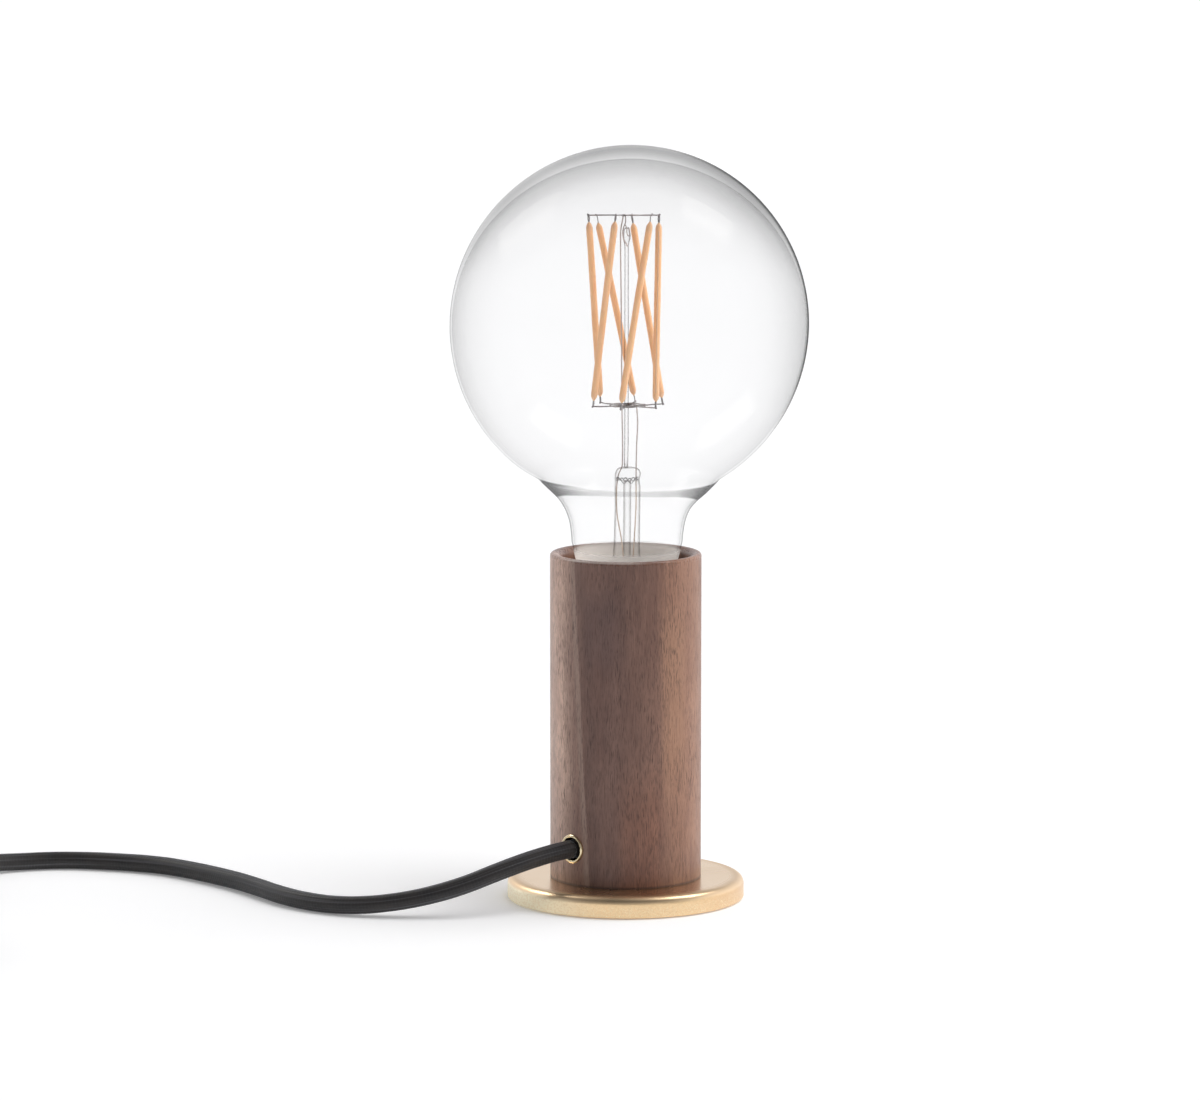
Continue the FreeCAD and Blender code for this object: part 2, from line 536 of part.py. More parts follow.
def wire_run(pts, r):
    """A thin wire: straight runs with a ball at each bend, all one solid."""
    out = None
    P = [V(*p) if not isinstance(p, V) else p for p in pts]
    parts = []
    for a, b in zip(P[:-1], P[1:]):
        parts.append(Part.makeCylinder(r, (b - a).Length, a, b - a))
    for m in P[1:-1]:
        parts.append(Part.makeSphere(r, m))
    s = parts[0]
    if len(parts) > 1:
        s = s.fuse(parts[1:])
    return s


# each star: a small collar on the axis with six spokes to the pins
def star(z, hub_in, hub_out, lift, base):
    hub = Part.makeCylinder(hub_out, 0.8, V(0, 0, z + lift - 0.4))
    if hub_in > 0:
        hub = hub.cut(Part.makeCylinder(hub_in, 2.0, V(0, 0, z + lift - 1.0)))
    spokes = []
    for k in range(6):
        d = at(base + 60 * k, z, CR)
        i = at(base + 60 * k, z + lift, 0.5 * (hub_in + hub_out))
        d2 = d + (i - d).normalize() * 0.5
        spokes.append(Part.makeCylinder(0.3, (d2 - i).Length, i, d2 - i))
    return hub.fuse(spokes)


own("top_star", star(ZT, 0.0, 0.9, 0.0, 14.0))
own("bottom_star", star(ZB, 2.25, 2.8, 0.0, 14.0 - 58.5))
own("top_hook", wire_run([at(0, ZT - 0.45, 0.0), at(215, 238.6, 0.9), at(10, 237.2, 0.6), at(0, 235.8, 0.0)], 0.28))
# two feed wires stand on the pinch: one carries the bottom star, the other runs up beside the rod and over its bead to the hook
A = V(3.3, 0, 141.0)
own("lead_wires", Part.makeCompound([
    wire_run([(3.3, 0, 97.45), (3.3, 0, 112.0), (2.6, 0.4, 126.0), (3.3, 0, 139.5), (3.3, 0, 154.0), (4.0, 0.6, 160.0), (2.7, 0.2, ZB - 0.45)], 0.3),
    wire_run([(-3.3, 0, 97.45), (-3.3, 0, 112.0), (-2.7, -0.4, 126.0), (-3.3, 0, 139.5), (-3.3, 0, 153.0), (-1.25, 1.25, 158.0), (-1.25, 1.25, 232.0),
              (-1.3, 1.3, 235.6), (-0.88, 0.36, 238.4)], 0.28)]))

# driver in the cap: a round board with a capacitor, a bridge and a coil
board = turned("driver_board", [(0, 96.4), (9.9, 96.4), (9.9, 97.4), (0, 97.4)])
own("driver_parts", Part.makeCompound([
    Part.makeCylinder(2.6, 5.4, V(-4.6, 4.4, 97.45)),
    Part.makeBox(4.6, 3.8, 1.7, V(2.0, -7.2, 97.45)),
    Part.makeCylinder(2.2, 3.2, V(4.6, 4.6, 97.45)),
    Part.makeBox(3.0, 1.6, 1.0, V(-7.0, -3.2, 97.45)),
    Part.makeBox(2.0, 1.2, 0.8, V(-2.8, -7.4, 97.45))]))
own("driver_leads", Part.makeCompound([
    wire_run([(0, 0.0, 91.1), (0.6, 0.6, 93.8), (1.6, 1.6, 95.4), (1.6, 1.6, 96.38)], 0.35),
    wire_run([(9.2, 0, 97.42), (9.2, 0, 98.2), (10.6, 0, 99.0), (11.0, 0, 100.2)], 0.3)]))

# ------------------------------------------------------------------ free lead
LZ = S["lead_rad"]
SWITCH_AT = (-162.8, 183.9)
SWITCH_DIR = -164.0
sd = V(math.cos(math.radians(SWITCH_DIR)), math.sin(math.radians(SWITCH_DIR)), 0)
sw0 = V(SWITCH_AT[0], SWITCH_AT[1], 0)
sw1 = sw0 + sd * S["sw_long"]
in0, in1 = sw0 + sd * 6.0, sw1 - sd * 6.0
# from the ferrule down to the table, along it in loose bends and up into the switch
ROUTE_A = [(-27.1, 0.0, 20.5), (-36.1, 0.0, 20.5), (-53.5, 4.5, 16.9), (-69.7, 13.7, 10.3), (-83.0, 28.7, 5.3),
           (-94.1, 45.9, 3.2), (-97.5, 68.0, 3.2), (-90.6, 97.5, 3.2), (-88.9, 120.4, 3.2), (-89.7, 143.7, 3.2),
           (-97.9, 162.3, 3.2), (-109.4, 179.1, 3.2), (-130.1, 189.5, 3.4), (-150.6, 187.4, 6.2), (in0.x, in0.y, 6.5)]
# from the switch back down to the table and round into the coil
COIL_AT = V(-258.0, 118.0, 0)
MID = 0.5 * (S["coil_out"] + S["coil_in"])
TURN_R = S["coil_out"] - S["lead_rad"] - 0.2
j = COIL_AT + V(math.cos(math.radians(97)), math.sin(math.radians(97)), 0) * TURN_R
ROUTE_B = [(in1.x, in1.y, 6.5), (-229.8, 164.7, 6.2), (-246.8, 160.9, 3.4), (j.x, j.y, 3.2)]
# from the coil's top layer down beside it to the plug
k0 = COIL_AT + V(-TURN_R, 0, 9.6)
PLUG_AT = V(-320.0, -4.0, 0)
ROUTE_C = [(k0.x, k0.y + 4.0, 9.6), (k0.x - 0.6, k0.y - 9.5, 9.5), (-303.8, 95.5, 8.8), (-310.7, 83.8, 7.9), (-317.6, 73.4, 7.15),
           (-320.0, 62.6, 6.85), (-320.0, 57.0, 6.85)]

total = 0.0
for label, pts in (("cord_from_lamp", ROUTE_A), ("cord_to_coil", ROUTE_B), ("cord_to_plug", ROUTE_C)):
    w, n = tube(label, pts, S["lead_rad"])
    own(label, w)
    total += n
coil = Part.makeCylinder(S["coil_out"], S["coil_high"], COIL_AT).cut(Part.makeCylinder(S["coil_in"], S["coil_high"] + 2, COIL_AT - V(0, 0, 1)))
top_edges = [e for e in coil.Edges if isinstance(e.Curve, Part.Circle)]
coil = coil.makeFillet(3.0, top_edges)
own("cord_coil", coil)
print("free lead outside the coil %.0f mm" % total)

a = Part.makeBox(S["coil_out"] - S["coil_in"] + 1.8, 9.0, S["coil_high"] + 0.9, V(S["coil_in"] - 0.9, -4.5, 0))
a = a.makeFillet(1.2, [e for e in a.Edges if abs(e.BoundBox.YLength - 9.0) < 1e-6 and e.BoundBox.ZMin > 5])
b = Part.makeBox(S["coil_out"] - S["coil_in"] + 0.2, 11.0, S["coil_high"] - 0.7, V(S["coil_in"] - 0.1, -5.5, 0.8))
tie = a.cut(b).fuse(Part.makeBox(4.0, 7.0, 1.2, V(S["coil_in"] + 8.0, -3.5, S["coil_high"] + 0.5)))
own("coil_tie", tie, Placement(COIL_AT, TWIST(-60.0)))

# ------------------------------------------------------------------ in-line rocker switch
SW = Placement(sw0, TWIST(SWITCH_DIR))


def rect_pad(label, x0, y0, z0, lx, ly, lz):
    body = doc.addObject("PartDesign::Body", label)
    sk = outline(body, label + "_outline", [(x0, y0), (x0 + lx, y0), (x0 + lx, y0 + ly), (x0, y0 + ly)], "XY_Plane")
    pad = body.newObject("PartDesign::Pad", label + "_pad")
    pad.Profile = sk
    pad.Length = lz
    doc.recompute()
    return body


def fillet_where(body, name, test, radius):
    tip = body.Tip
    names = ["Edge%d" % (k + 1) for k, e in enumerate(tip.Shape.Edges) if test(e)]
    f = body.newObject("PartDesign::Fillet", name)
    f.Base = (tip, names)
    f.Radius = radius
    doc.recompute()


def at_height(z):
    return lambda e: abs(e.BoundBox.ZMin - z) < 1e-4 and abs(e.BoundBox.ZMax - z) < 1e-4


def upright(e):
    return e.BoundBox.ZLength > 3 and e.BoundBox.XLength < 1e-4 and e.BoundBox.YLength < 1e-4


hw, L = 0.5 * S["sw_wide"], S["sw_long"]
base = rect_pad("switch_base_blank", 0.0, -hw, 0.0, L, S["sw_wide"], S["sw_split"])
fillet_where(base, "switch_base_ends", upright, 6.5)
fillet_where(base, "switch_base_foot", at_height(0.0), 1.6)
cov = rect_pad("switch_cover_blank", 0.0, -hw, 0.0, L, S["sw_wide"], S["sw_high"] - S["sw_split"])
fillet_where(cov, "switch_cover_ends", upright, 6.5)
fillet_where(cov, "switch_cover_brow", at_height(S["sw_high"] - S["sw_split"]), 3.2)
cov.Placement = Placement(V(0, 0, S["sw_split"]), Rotation())
w = S["sw_wall"]
PX, PZ = 31.0, 11.2
b0 = cut("switch_base", base, [
    prim("Part::Box", "switch_tray", (8.0, "sw_wall - 0.5*sw_wide", "sw_wall"), Length="sw_long - 16", Width="sw_wide - 2*sw_wall", Height=8.0),
    prim("Part::Cylinder", "switch_tray_ways", (-1.0, 0, "sw_split"), ALONG_X, Radius="lead_rad + 0.1", Height="sw_long + 2"),
    prim("Part::Cylinder", "switch_screw_way_a", (4.6, 7.0, -1.0), Radius=1.45, Height=10.0),
    prim("Part::Cylinder", "switch_screw_sink_a", (4.6, 7.0, -1.0), Radius=2.45, Height=3.2),
    prim("Part::Cylinder", "switch_screw_way_b", (L - 4.6, -7.0, -1.0), Radius=1.45, Height=10.0),
    prim("Part::Cylinder", "switch_screw_sink_b", (L - 4.6, -7.0, -1.0), Radius=2.45, Height=3.2)])
b0.Placement = SW
node(b0, "switch_base")
c0 = cut("switch_cover", cov, [
    prim("Part::Box", "switch_lid_hollow", (8.0, "sw_wall - 0.5*sw_wide", 6.0), Length="sw_long - 16", Width="sw_wide - 2*sw_wall", Height="sw_high - sw_wall - 6"),
    prim("Part::Box", "switch_window", (PX - 11.6, -6.1, 12.0), Length=23.2, Width=12.2, Height=8.0),
    prim("Part::Cylinder", "switch_lid_ways", (-1.0, 0, "sw_split"), ALONG_X, Radius="lead_rad + 0.1", Height="sw_long + 2"),
    prim("Part::Cylinder", "switch_pivot_way", (PX, -10.1, PZ), Rotation(V(1, 0, 0), -90), Radius=1.05, Height=20.2),
    prim("Part::Cylinder", "switch_tap_a", (4.6, 7.0, 6.0), Radius=1.2, Height=6.2),
    prim("Part::Cylinder", "switch_tap_b", (L - 4.6, -7.0, 6.0), Radius=1.2, Height=6.2)])
c0.Placement = SW
node(c0, "switch_cover")
piv = prim("Part::Cylinder", "switch_pivot", (PX, -10.0, PZ), Rotation(V(1, 0, 0), -90), Radius=1.0, Height=20.0)
piv.Placement = SW.multiply(Placement(V(PX, -10.0, PZ), Rotation(V(1, 0, 0), -90)))
node(piv, "switch_pivot")
# rocker, resting with its lamp-side end pressed in: a shallow V on top
TILT = 8.0
rk = [(-5.5, -2.6), (5.5, -2.6), (10.4, 1.2), (10.4, 5.6), (6.0, 4.75), (0.0, 4.0), (-6.0, 4.75), (-10.4, 5.6), (-10.4, 1.2)]
f = Part.Face(Part.makePolygon([V(x, -5.75, z) for x, z in rk + rk[:1]]))
rocker = f.extrude(V(0, 11.5, 0))
rocker = rocker.makeFillet(0.5, [e for e in rocker.Edges if e.BoundBox.ZMin > 3.9 and (e.BoundBox.YLength < 1e-6 or abs(abs(e.CenterOfMass.x) - 10.4) < 1e-3)])
rocker = rocker.cut(Part.makeCylinder(1.06, 14.0, V(0, -7, 0), V(0, 1, 0)))
own("switch_rocker", rocker, SW.multiply(Placement(V(PX, 0, PZ), Rotation(V(0, 1, 0), -TILT))))
ss = []
for k, (x, y) in enumerate(((4.6, 7.0), (L - 4.6, -7.0))):
    st = prim("Part::Cylinder", "switch_screw_stem_%d" % k, (x, y, 2.0), Radius=1.15, Height=9.4)
    hd = prim("Part::Cylinder", "switch_screw_head_%d" % k, (x, y, 0.7), Radius=2.3, Height=1.45)
    sl = [prim("Part::Box", "switch_screw_slot_%d" % k, (x - 1.7, y - 0.35, 0.5), Length=3.4, Width=0.7, Height=0.9)]
    ss.append(cut("switch_screw_%d" % k, fuse("switch_screw_body_%d" % k, [st, hd]), sl))
g = group("switch_screws", ss)
g.Placement = SW
node(g, "switch_screws")
# brass terminals in the tray and the cores between them
ct = []
for k, (x, y) in enumerate(((17.0, 4.6), (41.0, 4.6))):
    ct.append(prim("Part::Box", "switch_contact_%d" % k, (x, y, 1.8), Length=5.0, Width=4.2, Height=4.6))
g = group("switch_contacts", ct)
g.Placement = SW
node(g, "switch_contacts")
cores = []
for pts in ([(6.1, 1.4, 6.3), (8.7, 1.4, 6.3), (13.2, 5.4, 4.6), (15.2, 6.3, 4.2), (16.97, 6.3, 4.2)],
            [(55.9, 1.4, 6.3), (53.3, 1.4, 6.3), (49.8, 5.4, 4.6), (47.8, 6.3, 4.2), (46.03, 6.3, 4.2)],
            [(6.1, -1.5, 6.3), (8.7, -1.5, 6.3), (13.5, -4.6, 4.4), (22.0, -6.2, 3.3), (40.0, -6.2, 3.3), (48.5, -4.6, 4.4), (53.3, -1.5, 6.3),
             (55.9, -1.5, 6.3)]):
    cores.append(wire_run(pts, 1.0))
own("switch_cores", Part.makeCompound(cores), SW)

# ------------------------------------------------------------------ flat two-pin plug, pins along -Y
PLG = Placement(PLUG_AT, TWIST(-90.0))
pw, pt, pl = 0.5 * S["plug_wide"], S["plug_thick"], S["plug_long"]
plug = doc.addObject("PartDesign::Body", "plug_blank")
sk = outline(plug, "plug_outline", [(0.0, "0 - 0.5*plug_wide"), (0.0, "0.5*plug_wide"), (-20.0, "0.5*plug_wide"), ("0 - plug_long", 8.6), ("0 - plug_long", -8.6), (-20.0, "0 - 0.5*plug_wide")], "XY_Plane")
pad = plug.newObject("PartDesign::Pad", "plug_pad")
pad.Profile = sk
pad.setExpression("Length", "dims.plug_thick")
doc.recompute()
fillet_where(plug, "plug_corners", upright, 2.5)
fillet_where(plug, "plug_edges", lambda e: at_height(0.0)(e) or at_height(pt)(e), 2.2)
pz = 0.5 * pt
tools = [prim("Part::Cylinder", "plug_pin_seat_%d" % s, (-8.2, s * 0.5 * S["pin_apart"], pz), ALONG_X, Radius=1.55, Height=12.0) for s in (-1, 1)]
tools.append(prim("Part::Cylinder", "plug_cord_seat", (-38.0, 0, pz), ALONG_X, Radius=2.5, Height=6.0))
p0 = cut("plug_body", plug, tools)
p0.Placement = PLG
node(p0, "plug_body")
pins_, sleeves_ = [], []
for s in (-1, 1):
    y = s * 0.5 * S["pin_apart"]
    thin = prim("Part::Cylinder", "pin_root_%d" % s, (-8.0, y, pz), ALONG_X, Radius=1.5, Height=18.5)
    bare = prim("Part::Cylinder", "pin_bare_%d" % s, (10.0, y, pz), ALONG_X, Radius="pin_rad", Height="pin_long - 11.2")
    nose = prim("Part::Cone", "pin_nose_%d" % s, ("pin_long - 1.2", y, pz), ALONG_X, Radius1="pin_rad", Radius2="pin_rad - 0.9", Height=1.2)
    pins_.append(fuse("pin_%d" % s, [thin, bare, nose]))
    slv = prim("Part::Cylinder", "pin_sleeve_out_%d" % s, (0.0, y, pz), ALONG_X, Radius="pin_rad - 0.16", Height=10.0)
    bor = prim("Part::Cylinder", "pin_sleeve_in_%d" % s, (-1.0, y, pz), ALONG_X, Radius=1.5, Height=12.0)
    sleeves_.append(cut("pin_sleeve_%d" % s, slv, [bor]))
g = group("plug_pins", pins_)
g.Placement = PLG
node(g, "plug_pins")
g = group("plug_pin_sleeves", sleeves_)
g.Placement = PLG
node(g, "plug_pin_sleeves")
# tapered, ribbed bend relief at the back of the plug
rel = [(0, -36.0), (2.45, -36.0), (2.45, -33.0)]
prof = [(3.22, -61.0), (4.1, -61.0)]
z = -61.0
for k in range(6):
    r = 4.15 + 0.33 * k
    prof += [(r, z + 2.4), (r - 0.75, z + 2.4), (r - 0.75, z + 3.4), (r + 0.33, z + 3.4)]
    z += 3.4
prof += [(6.3, -38.0), (6.3, -36.05), (3.22, -36.05)]
relief = doc.addObject("PartDesign::Body", "plug_relief")
sk = outline(relief, "relief_profile", [(r, zz + 61.0) for r, zz in prof])
rev = relief.newObject("PartDesign::Revolution", "relief_turned")
rev.Profile = sk
rev.ReferenceAxis = (sk, ["V_Axis"])
rev.Angle = 360.0
doc.recompute()
relief.Placement = PLG.multiply(Placement(V(-61.0, 0, pz), ALONG_X))
node(relief, "plug_relief")
# the lead inside the relief
own("cord_in_plug", Part.makeCylinder(S["lead_rad"], 24.9, V(-61.0, 0, pz), V(1, 0, 0)), PLG)

doc.recompute()
bad = [o.Name for o in doc.Objects if "Invalid" in o.State or "Error" in o.State]
if bad:
    raise RuntimeError("failed features: " + ", ".join(bad))
os.makedirs("parts", exist_ok=True)
seen = set()
for o in NODES:
    s = o.Shape
    if s.isNull() or not s.isValid() or not s.Solids:
        raise RuntimeError(o.Label + " has no valid solid")
    for k, sol in enumerate(s.Solids):
        if not sol.isClosed() or sol.Volume <= 0:
            raise RuntimeError(o.Label + " is open")
    if o.Label in seen:
        raise RuntimeError(o.Label + " twice")
    seen.add(o.Label)
    s.exportStep("parts/%s.step" % o.Label)
    b = s.BoundBox
    print("%-18s %2d solid  %9.1f mm3  x %7.1f %7.1f  y %7.1f %7.1f  z %6.1f %6.1f" % (
        o.Label, len(s.Solids), s.Volume, b.XMin, b.XMax, b.YMin, b.YMax, b.ZMin, b.ZMax))
print(len(NODES), "nodes")
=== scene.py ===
# Bare bulb table lamp: walnut column, brass disc, clear globe bulb and a black textile lead.
import bpy, bmesh, math, random
from mathutils import Vector, Matrix, noise


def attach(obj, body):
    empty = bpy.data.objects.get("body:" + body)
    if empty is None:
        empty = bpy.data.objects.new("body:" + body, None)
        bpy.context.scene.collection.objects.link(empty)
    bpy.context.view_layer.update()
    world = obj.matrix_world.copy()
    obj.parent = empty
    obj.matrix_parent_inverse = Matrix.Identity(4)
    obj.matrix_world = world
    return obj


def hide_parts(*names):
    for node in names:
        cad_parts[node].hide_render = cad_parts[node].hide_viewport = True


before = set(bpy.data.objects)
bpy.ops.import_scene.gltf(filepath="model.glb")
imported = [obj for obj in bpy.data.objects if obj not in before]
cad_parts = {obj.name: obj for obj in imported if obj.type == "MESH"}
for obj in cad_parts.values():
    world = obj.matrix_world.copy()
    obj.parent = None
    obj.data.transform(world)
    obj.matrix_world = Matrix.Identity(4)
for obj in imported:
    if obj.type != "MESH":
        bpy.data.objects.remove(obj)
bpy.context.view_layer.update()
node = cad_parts
MM = 0.001
random.seed(7)


# ---------------------------------------------------------------- mesh helpers
def mesh_piece(name, verts, faces, material, body, replaces=(), smooth=True, uvs=None):
    me = bpy.data.meshes.new(name)
    me.from_pydata(verts, [], faces)
    me.update()
    if uvs is None:
        bm = bmesh.new()
        bm.from_mesh(me)
        bmesh.ops.recalc_face_normals(bm, faces=bm.faces)
        bm.to_mesh(me)
        bm.free()
    if uvs is not None:
        layer = me.uv_layers.new(name="along")
        k = 0
        for poly in me.polygons:
            for li in poly.loop_indices:
                layer.data[li].uv = uvs[k]
                k += 1
    for p in me.polygons:
        p.use_smooth = smooth
    ob = bpy.data.objects.new(name, me)
    bpy.context.scene.collection.objects.link(ob)
    me.materials.append(material)
    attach(ob, body)
    if replaces:
        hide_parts(*replaces)
    return ob


def hermite(pts, steps):
    """A smooth line through the points, for profiles and stiff wires."""
    P = [Vector(p) for p in pts]
    out = []
    for i in range(len(P) - 1):
        a, b = P[i], P[i + 1]
        h = (b - a).length
        ma = (b - P[i - 1]).normalized() * h if i > 0 else (b - a)
        mb = (P[i + 2] - a).normalized() * h if i + 2 < len(P) else (b - a)
        for k in range(steps):
            t = k / steps
            t2, t3 = t * t, t * t * t
            out.append(a * (2 * t3 - 3 * t2 + 1) + ma * (t3 - 2 * t2 + t) + b * (-2 * t3 + 3 * t2) + mb * (t3 - t2))
    out.append(P[-1])
    return out


def lathe(profile, segs, warp=None, at=(0.0, 0.0), closed=False, lean=None):
    """Verts and faces of a profile of (radius, height) in mm, spun about an upright or slightly leaning axis."""
    verts, faces, rows = [], [], []
    for r, z in profile:
        if lean:
            at = lean(z)
        if r < 1e-6:
            rows.append([len(verts)])
            verts.append(Vector((at[0], at[1], z)) * MM)
        else:
            row = []
            for s in range(segs):
                a = 2 * math.pi * s / segs
                rr = r + (warp(r, z, a) if warp else 0.0)
                row.append(len(verts))
                verts.append(Vector((at[0] + rr * math.cos(a), at[1] + rr * math.sin(a), z)) * MM)
            rows.append(row)
    pairs = list(zip(rows[:-1], rows[1:]))
    if closed:
        pairs.append((rows[-1], rows[0]))
    for a, b in pairs:
        for s in range(segs):
            t = (s + 1) % segs
            if len(a) == 1 and len(b) == 1:
                continue
            if len(a) == 1:
                faces.append((a[0], b[s], b[t]))
            elif len(b) == 1:
                faces.append((a[s], b[0], a[t]))
            else:
                faces.append((a[s], b[s], b[t], a[t]))
    return verts, faces


def seen(x, y, z):
    """A place in mm given as right of, away from and above the lamp's axis, looked at across the lead's side."""
    return Vector(((x + y) * 0.70711, (y - x) * 0.70711, z))


def frames(path, up=Vector((0, 0, 1))):
    """Tangent, side and upright directions along a path, kept level so that nothing twists."""
    out = []
    n = len(path)
    for i, p in enumerate(path):
        t = (path[min(i + 1, n - 1)] - path[max(i - 1, 0)]).normalized()
        s = t.cross(up)
        s = s.normalized() if s.length > 1e-6 else Vector((1, 0, 0))
        out.append((t, s, s.cross(t).normalized()))
    return out


def wire(verts, faces, path, radius, segs=10, caps=True, up=Vector((0, 0, 1))):
    """Adds a round wire to verts and faces. radius is a number or a function of the share of the way along."""
    n = len(path)
    base = len(verts)
    upv = up
    t0 = (path[1] - path[0]).normalized()
    if abs(t0.dot(upv)) > 0.9:
        upv = Vector((1, 0, 0))
    s = t0.cross(upv).normalized()
    for i, p in enumerate(path):
        t = (path[min(i + 1, n - 1)] - path[max(i - 1, 0)]).normalized()
        s = (s - t * s.dot(t)).normalized()
        v = t.cross(s)
        r = radius(i / (n - 1)) if callable(radius) else radius
        for k in range(segs):
            a = 2 * math.pi * k / segs
            verts.append(p + (s * math.cos(a) + v * math.sin(a)) * r)
    for i in range(n - 1):
        for k in range(segs):
            m = (k + 1) % segs
            faces.append((base + i * segs + k, base + i * segs + m, base + (i + 1) * segs + m, base + (i + 1) * segs + k))
    if caps:
        a = len(verts)
        verts.append(path[0].copy())
        verts.append(path[-1].copy())
        last = base + (n - 1) * segs
        for k in range(segs):
            m = (k + 1) % segs
            faces.append((a, base + m, base + k))
            faces.append((a + 1, last + k, last + m))


def ball(verts, faces, centre, r, segs=12, rings=8, squash=1.0):
    base = len(verts)
    verts.append(centre + Vector((0, 0, r * squash)))
    for i in range(1, rings):
        b = math.pi * i / rings
        for k in range(segs):
            a = 2 * math.pi * k / segs
            verts.append(centre + Vector((r * math.sin(b) * math.cos(a), r * math.sin(b) * math.sin(a), r * squash * math.cos(b))))
    verts.append(centre - Vector((0, 0, r * squash)))
    end = len(verts) - 1
    for k in range(segs):
        m = (k + 1) % segs
        faces.append((base, base + 1 + k, base + 1 + m))
        faces.append((end, end - segs + m, end - segs + k))
    for i in range(rings - 2):
        for k in range(segs):
            m = (k + 1) % segs
            o = base + 1 + i * segs
            faces.append((o + k, o + segs + k, o + segs + m, o + m))


# ---------------------------------------------------------------- material helpers
class Shader:
    """A material with one Principled shader and short calls for the nodes that feed it."""

    def __init__(self, name, color=(0.5, 0.5, 0.5), rough=0.5, metal=0.0, **fixed):
        self.m = bpy.data.materials.new(name)
        self.m.use_nodes = True
        self.t = self.m.node_tree
        self.t.nodes.clear()
        self.out = self.t.nodes.new("ShaderNodeOutputMaterial")
        self.p = self.t.nodes.new("ShaderNodeBsdfPrincipled")
        self.t.links.new(self.p.outputs[0], self.out.inputs[0])
        self.p.inputs["Base Color"].default_value = (*color[:3], 1)
        self.p.inputs["Roughness"].default_value = rough
        self.p.inputs["Metallic"].default_value = metal
        for k, v in fixed.items():
            self.p.inputs[k.replace("_", " ")].default_value = v
        self.xyz = None

    def add(self, kind, **props):
        n = self.t.nodes.new(kind)
        for k, v in props.items():
            setattr(n, k, v)
        return n

    def link(self, a, b):
        self.t.links.new(a, b)

    def place(self, scale=(1, 1, 1), shift=(0, 0, 0), turn=(0, 0, 0), kind="Object", source=None):
        """The object's own coordinates in millimetres, scaled."""
        if source is None:
            c = self.add("ShaderNodeTexCoord")
            source = c.outputs[kind]
            scale = tuple(1000.0 * s for s in scale) if kind == "Object" else scale
        mp = self.add("ShaderNodeMapping")
        mp.inputs["Scale"].default_value = scale
        mp.inputs["Location"].default_value = shift
        mp.inputs["Rotation"].default_value = turn
        self.link(source, mp.inputs["Vector"])
        return mp.outputs[0]

    def noise(self, vector, scale=1.0, detail=2.0, rough=0.5, distort=0.0, dim="3D"):
        n = self.add("ShaderNodeTexNoise", noise_dimensions=dim)
        n.inputs["Scale"].default_value = scale
        n.inputs["Detail"].default_value = detail
        n.inputs["Roughness"].default_value = rough
        n.inputs["Distortion"].default_value = distort
        self.link(vector, n.inputs["W" if dim == "1D" else "Vector"])
        return n.outputs[0]

    def ramp(self, value, stops, interp="LINEAR"):
        r = self.add("ShaderNodeValToRGB")
        r.color_ramp.interpolation = interp
        e = r.color_ramp.elements
        while len(e) < len(stops):
            e.new(0.5)
        for el, (pos, col) in zip(e, stops):
            el.position = pos
            el.color = (*(col if hasattr(col, "__len__") else (col, col, col)), 1)
        self.link(value, r.inputs[0])
        return r.outputs[0]

    def span(self, value, a, b, c=0.0, d=1.0, smooth=True):
        r = self.add("ShaderNodeMapRange", interpolation_type="SMOOTHSTEP" if smooth else "LINEAR", clamp=True)
        for k, v in zip(("From Min", "From Max", "To Min", "To Max"), (a, b, c, d)):
            r.inputs[k].default_value = v
        self.link(value, r.inputs[0])
        return r.outputs[0]

    def math(self, op, a, b=None, c=None):
        n = self.add("ShaderNodeMath", operation=op)
        for i, v in enumerate((a, b, c)):
            if v is None:
                continue
            if isinstance(v, (int, float)):
                n.inputs[i].default_value = v
            else:
                self.link(v, n.inputs[i])
        return n.outputs[0]

    def mix(self, fac, a, b, kind="MIX"):
        n = self.add("ShaderNodeMix", data_type="RGBA", blend_type=kind)
        for s, v in ((n.inputs[0], fac), (n.inputs[6], a), (n.inputs[7], b)):
            if isinstance(v, (int, float)):
                s.default_value = v
            elif isinstance(v, tuple):
                s.default_value = (*v[:3], 1)
            else:
                self.link(v, s)
        return n.outputs[2]

    def axes(self, vector):
        s = self.add("ShaderNodeSeparateXYZ")
        self.link(vector, s.inputs[0])
        return s.outputs[0], s.outputs[1], s.outputs[2]

    def bump(self, height, strength=0.3, distance=0.0002, normal=None):
        b = self.add("ShaderNodeBump")
        b.inputs["Strength"].default_value = strength
        b.inputs["Distance"].default_value = distance
        self.link(height, b.inputs["Height"])
        if normal is not None:
            self.link(normal, b.inputs["Normal"])
        return b.outputs[0]

    def set(self, socket, value):
        self.link(value, self.p.inputs[socket])


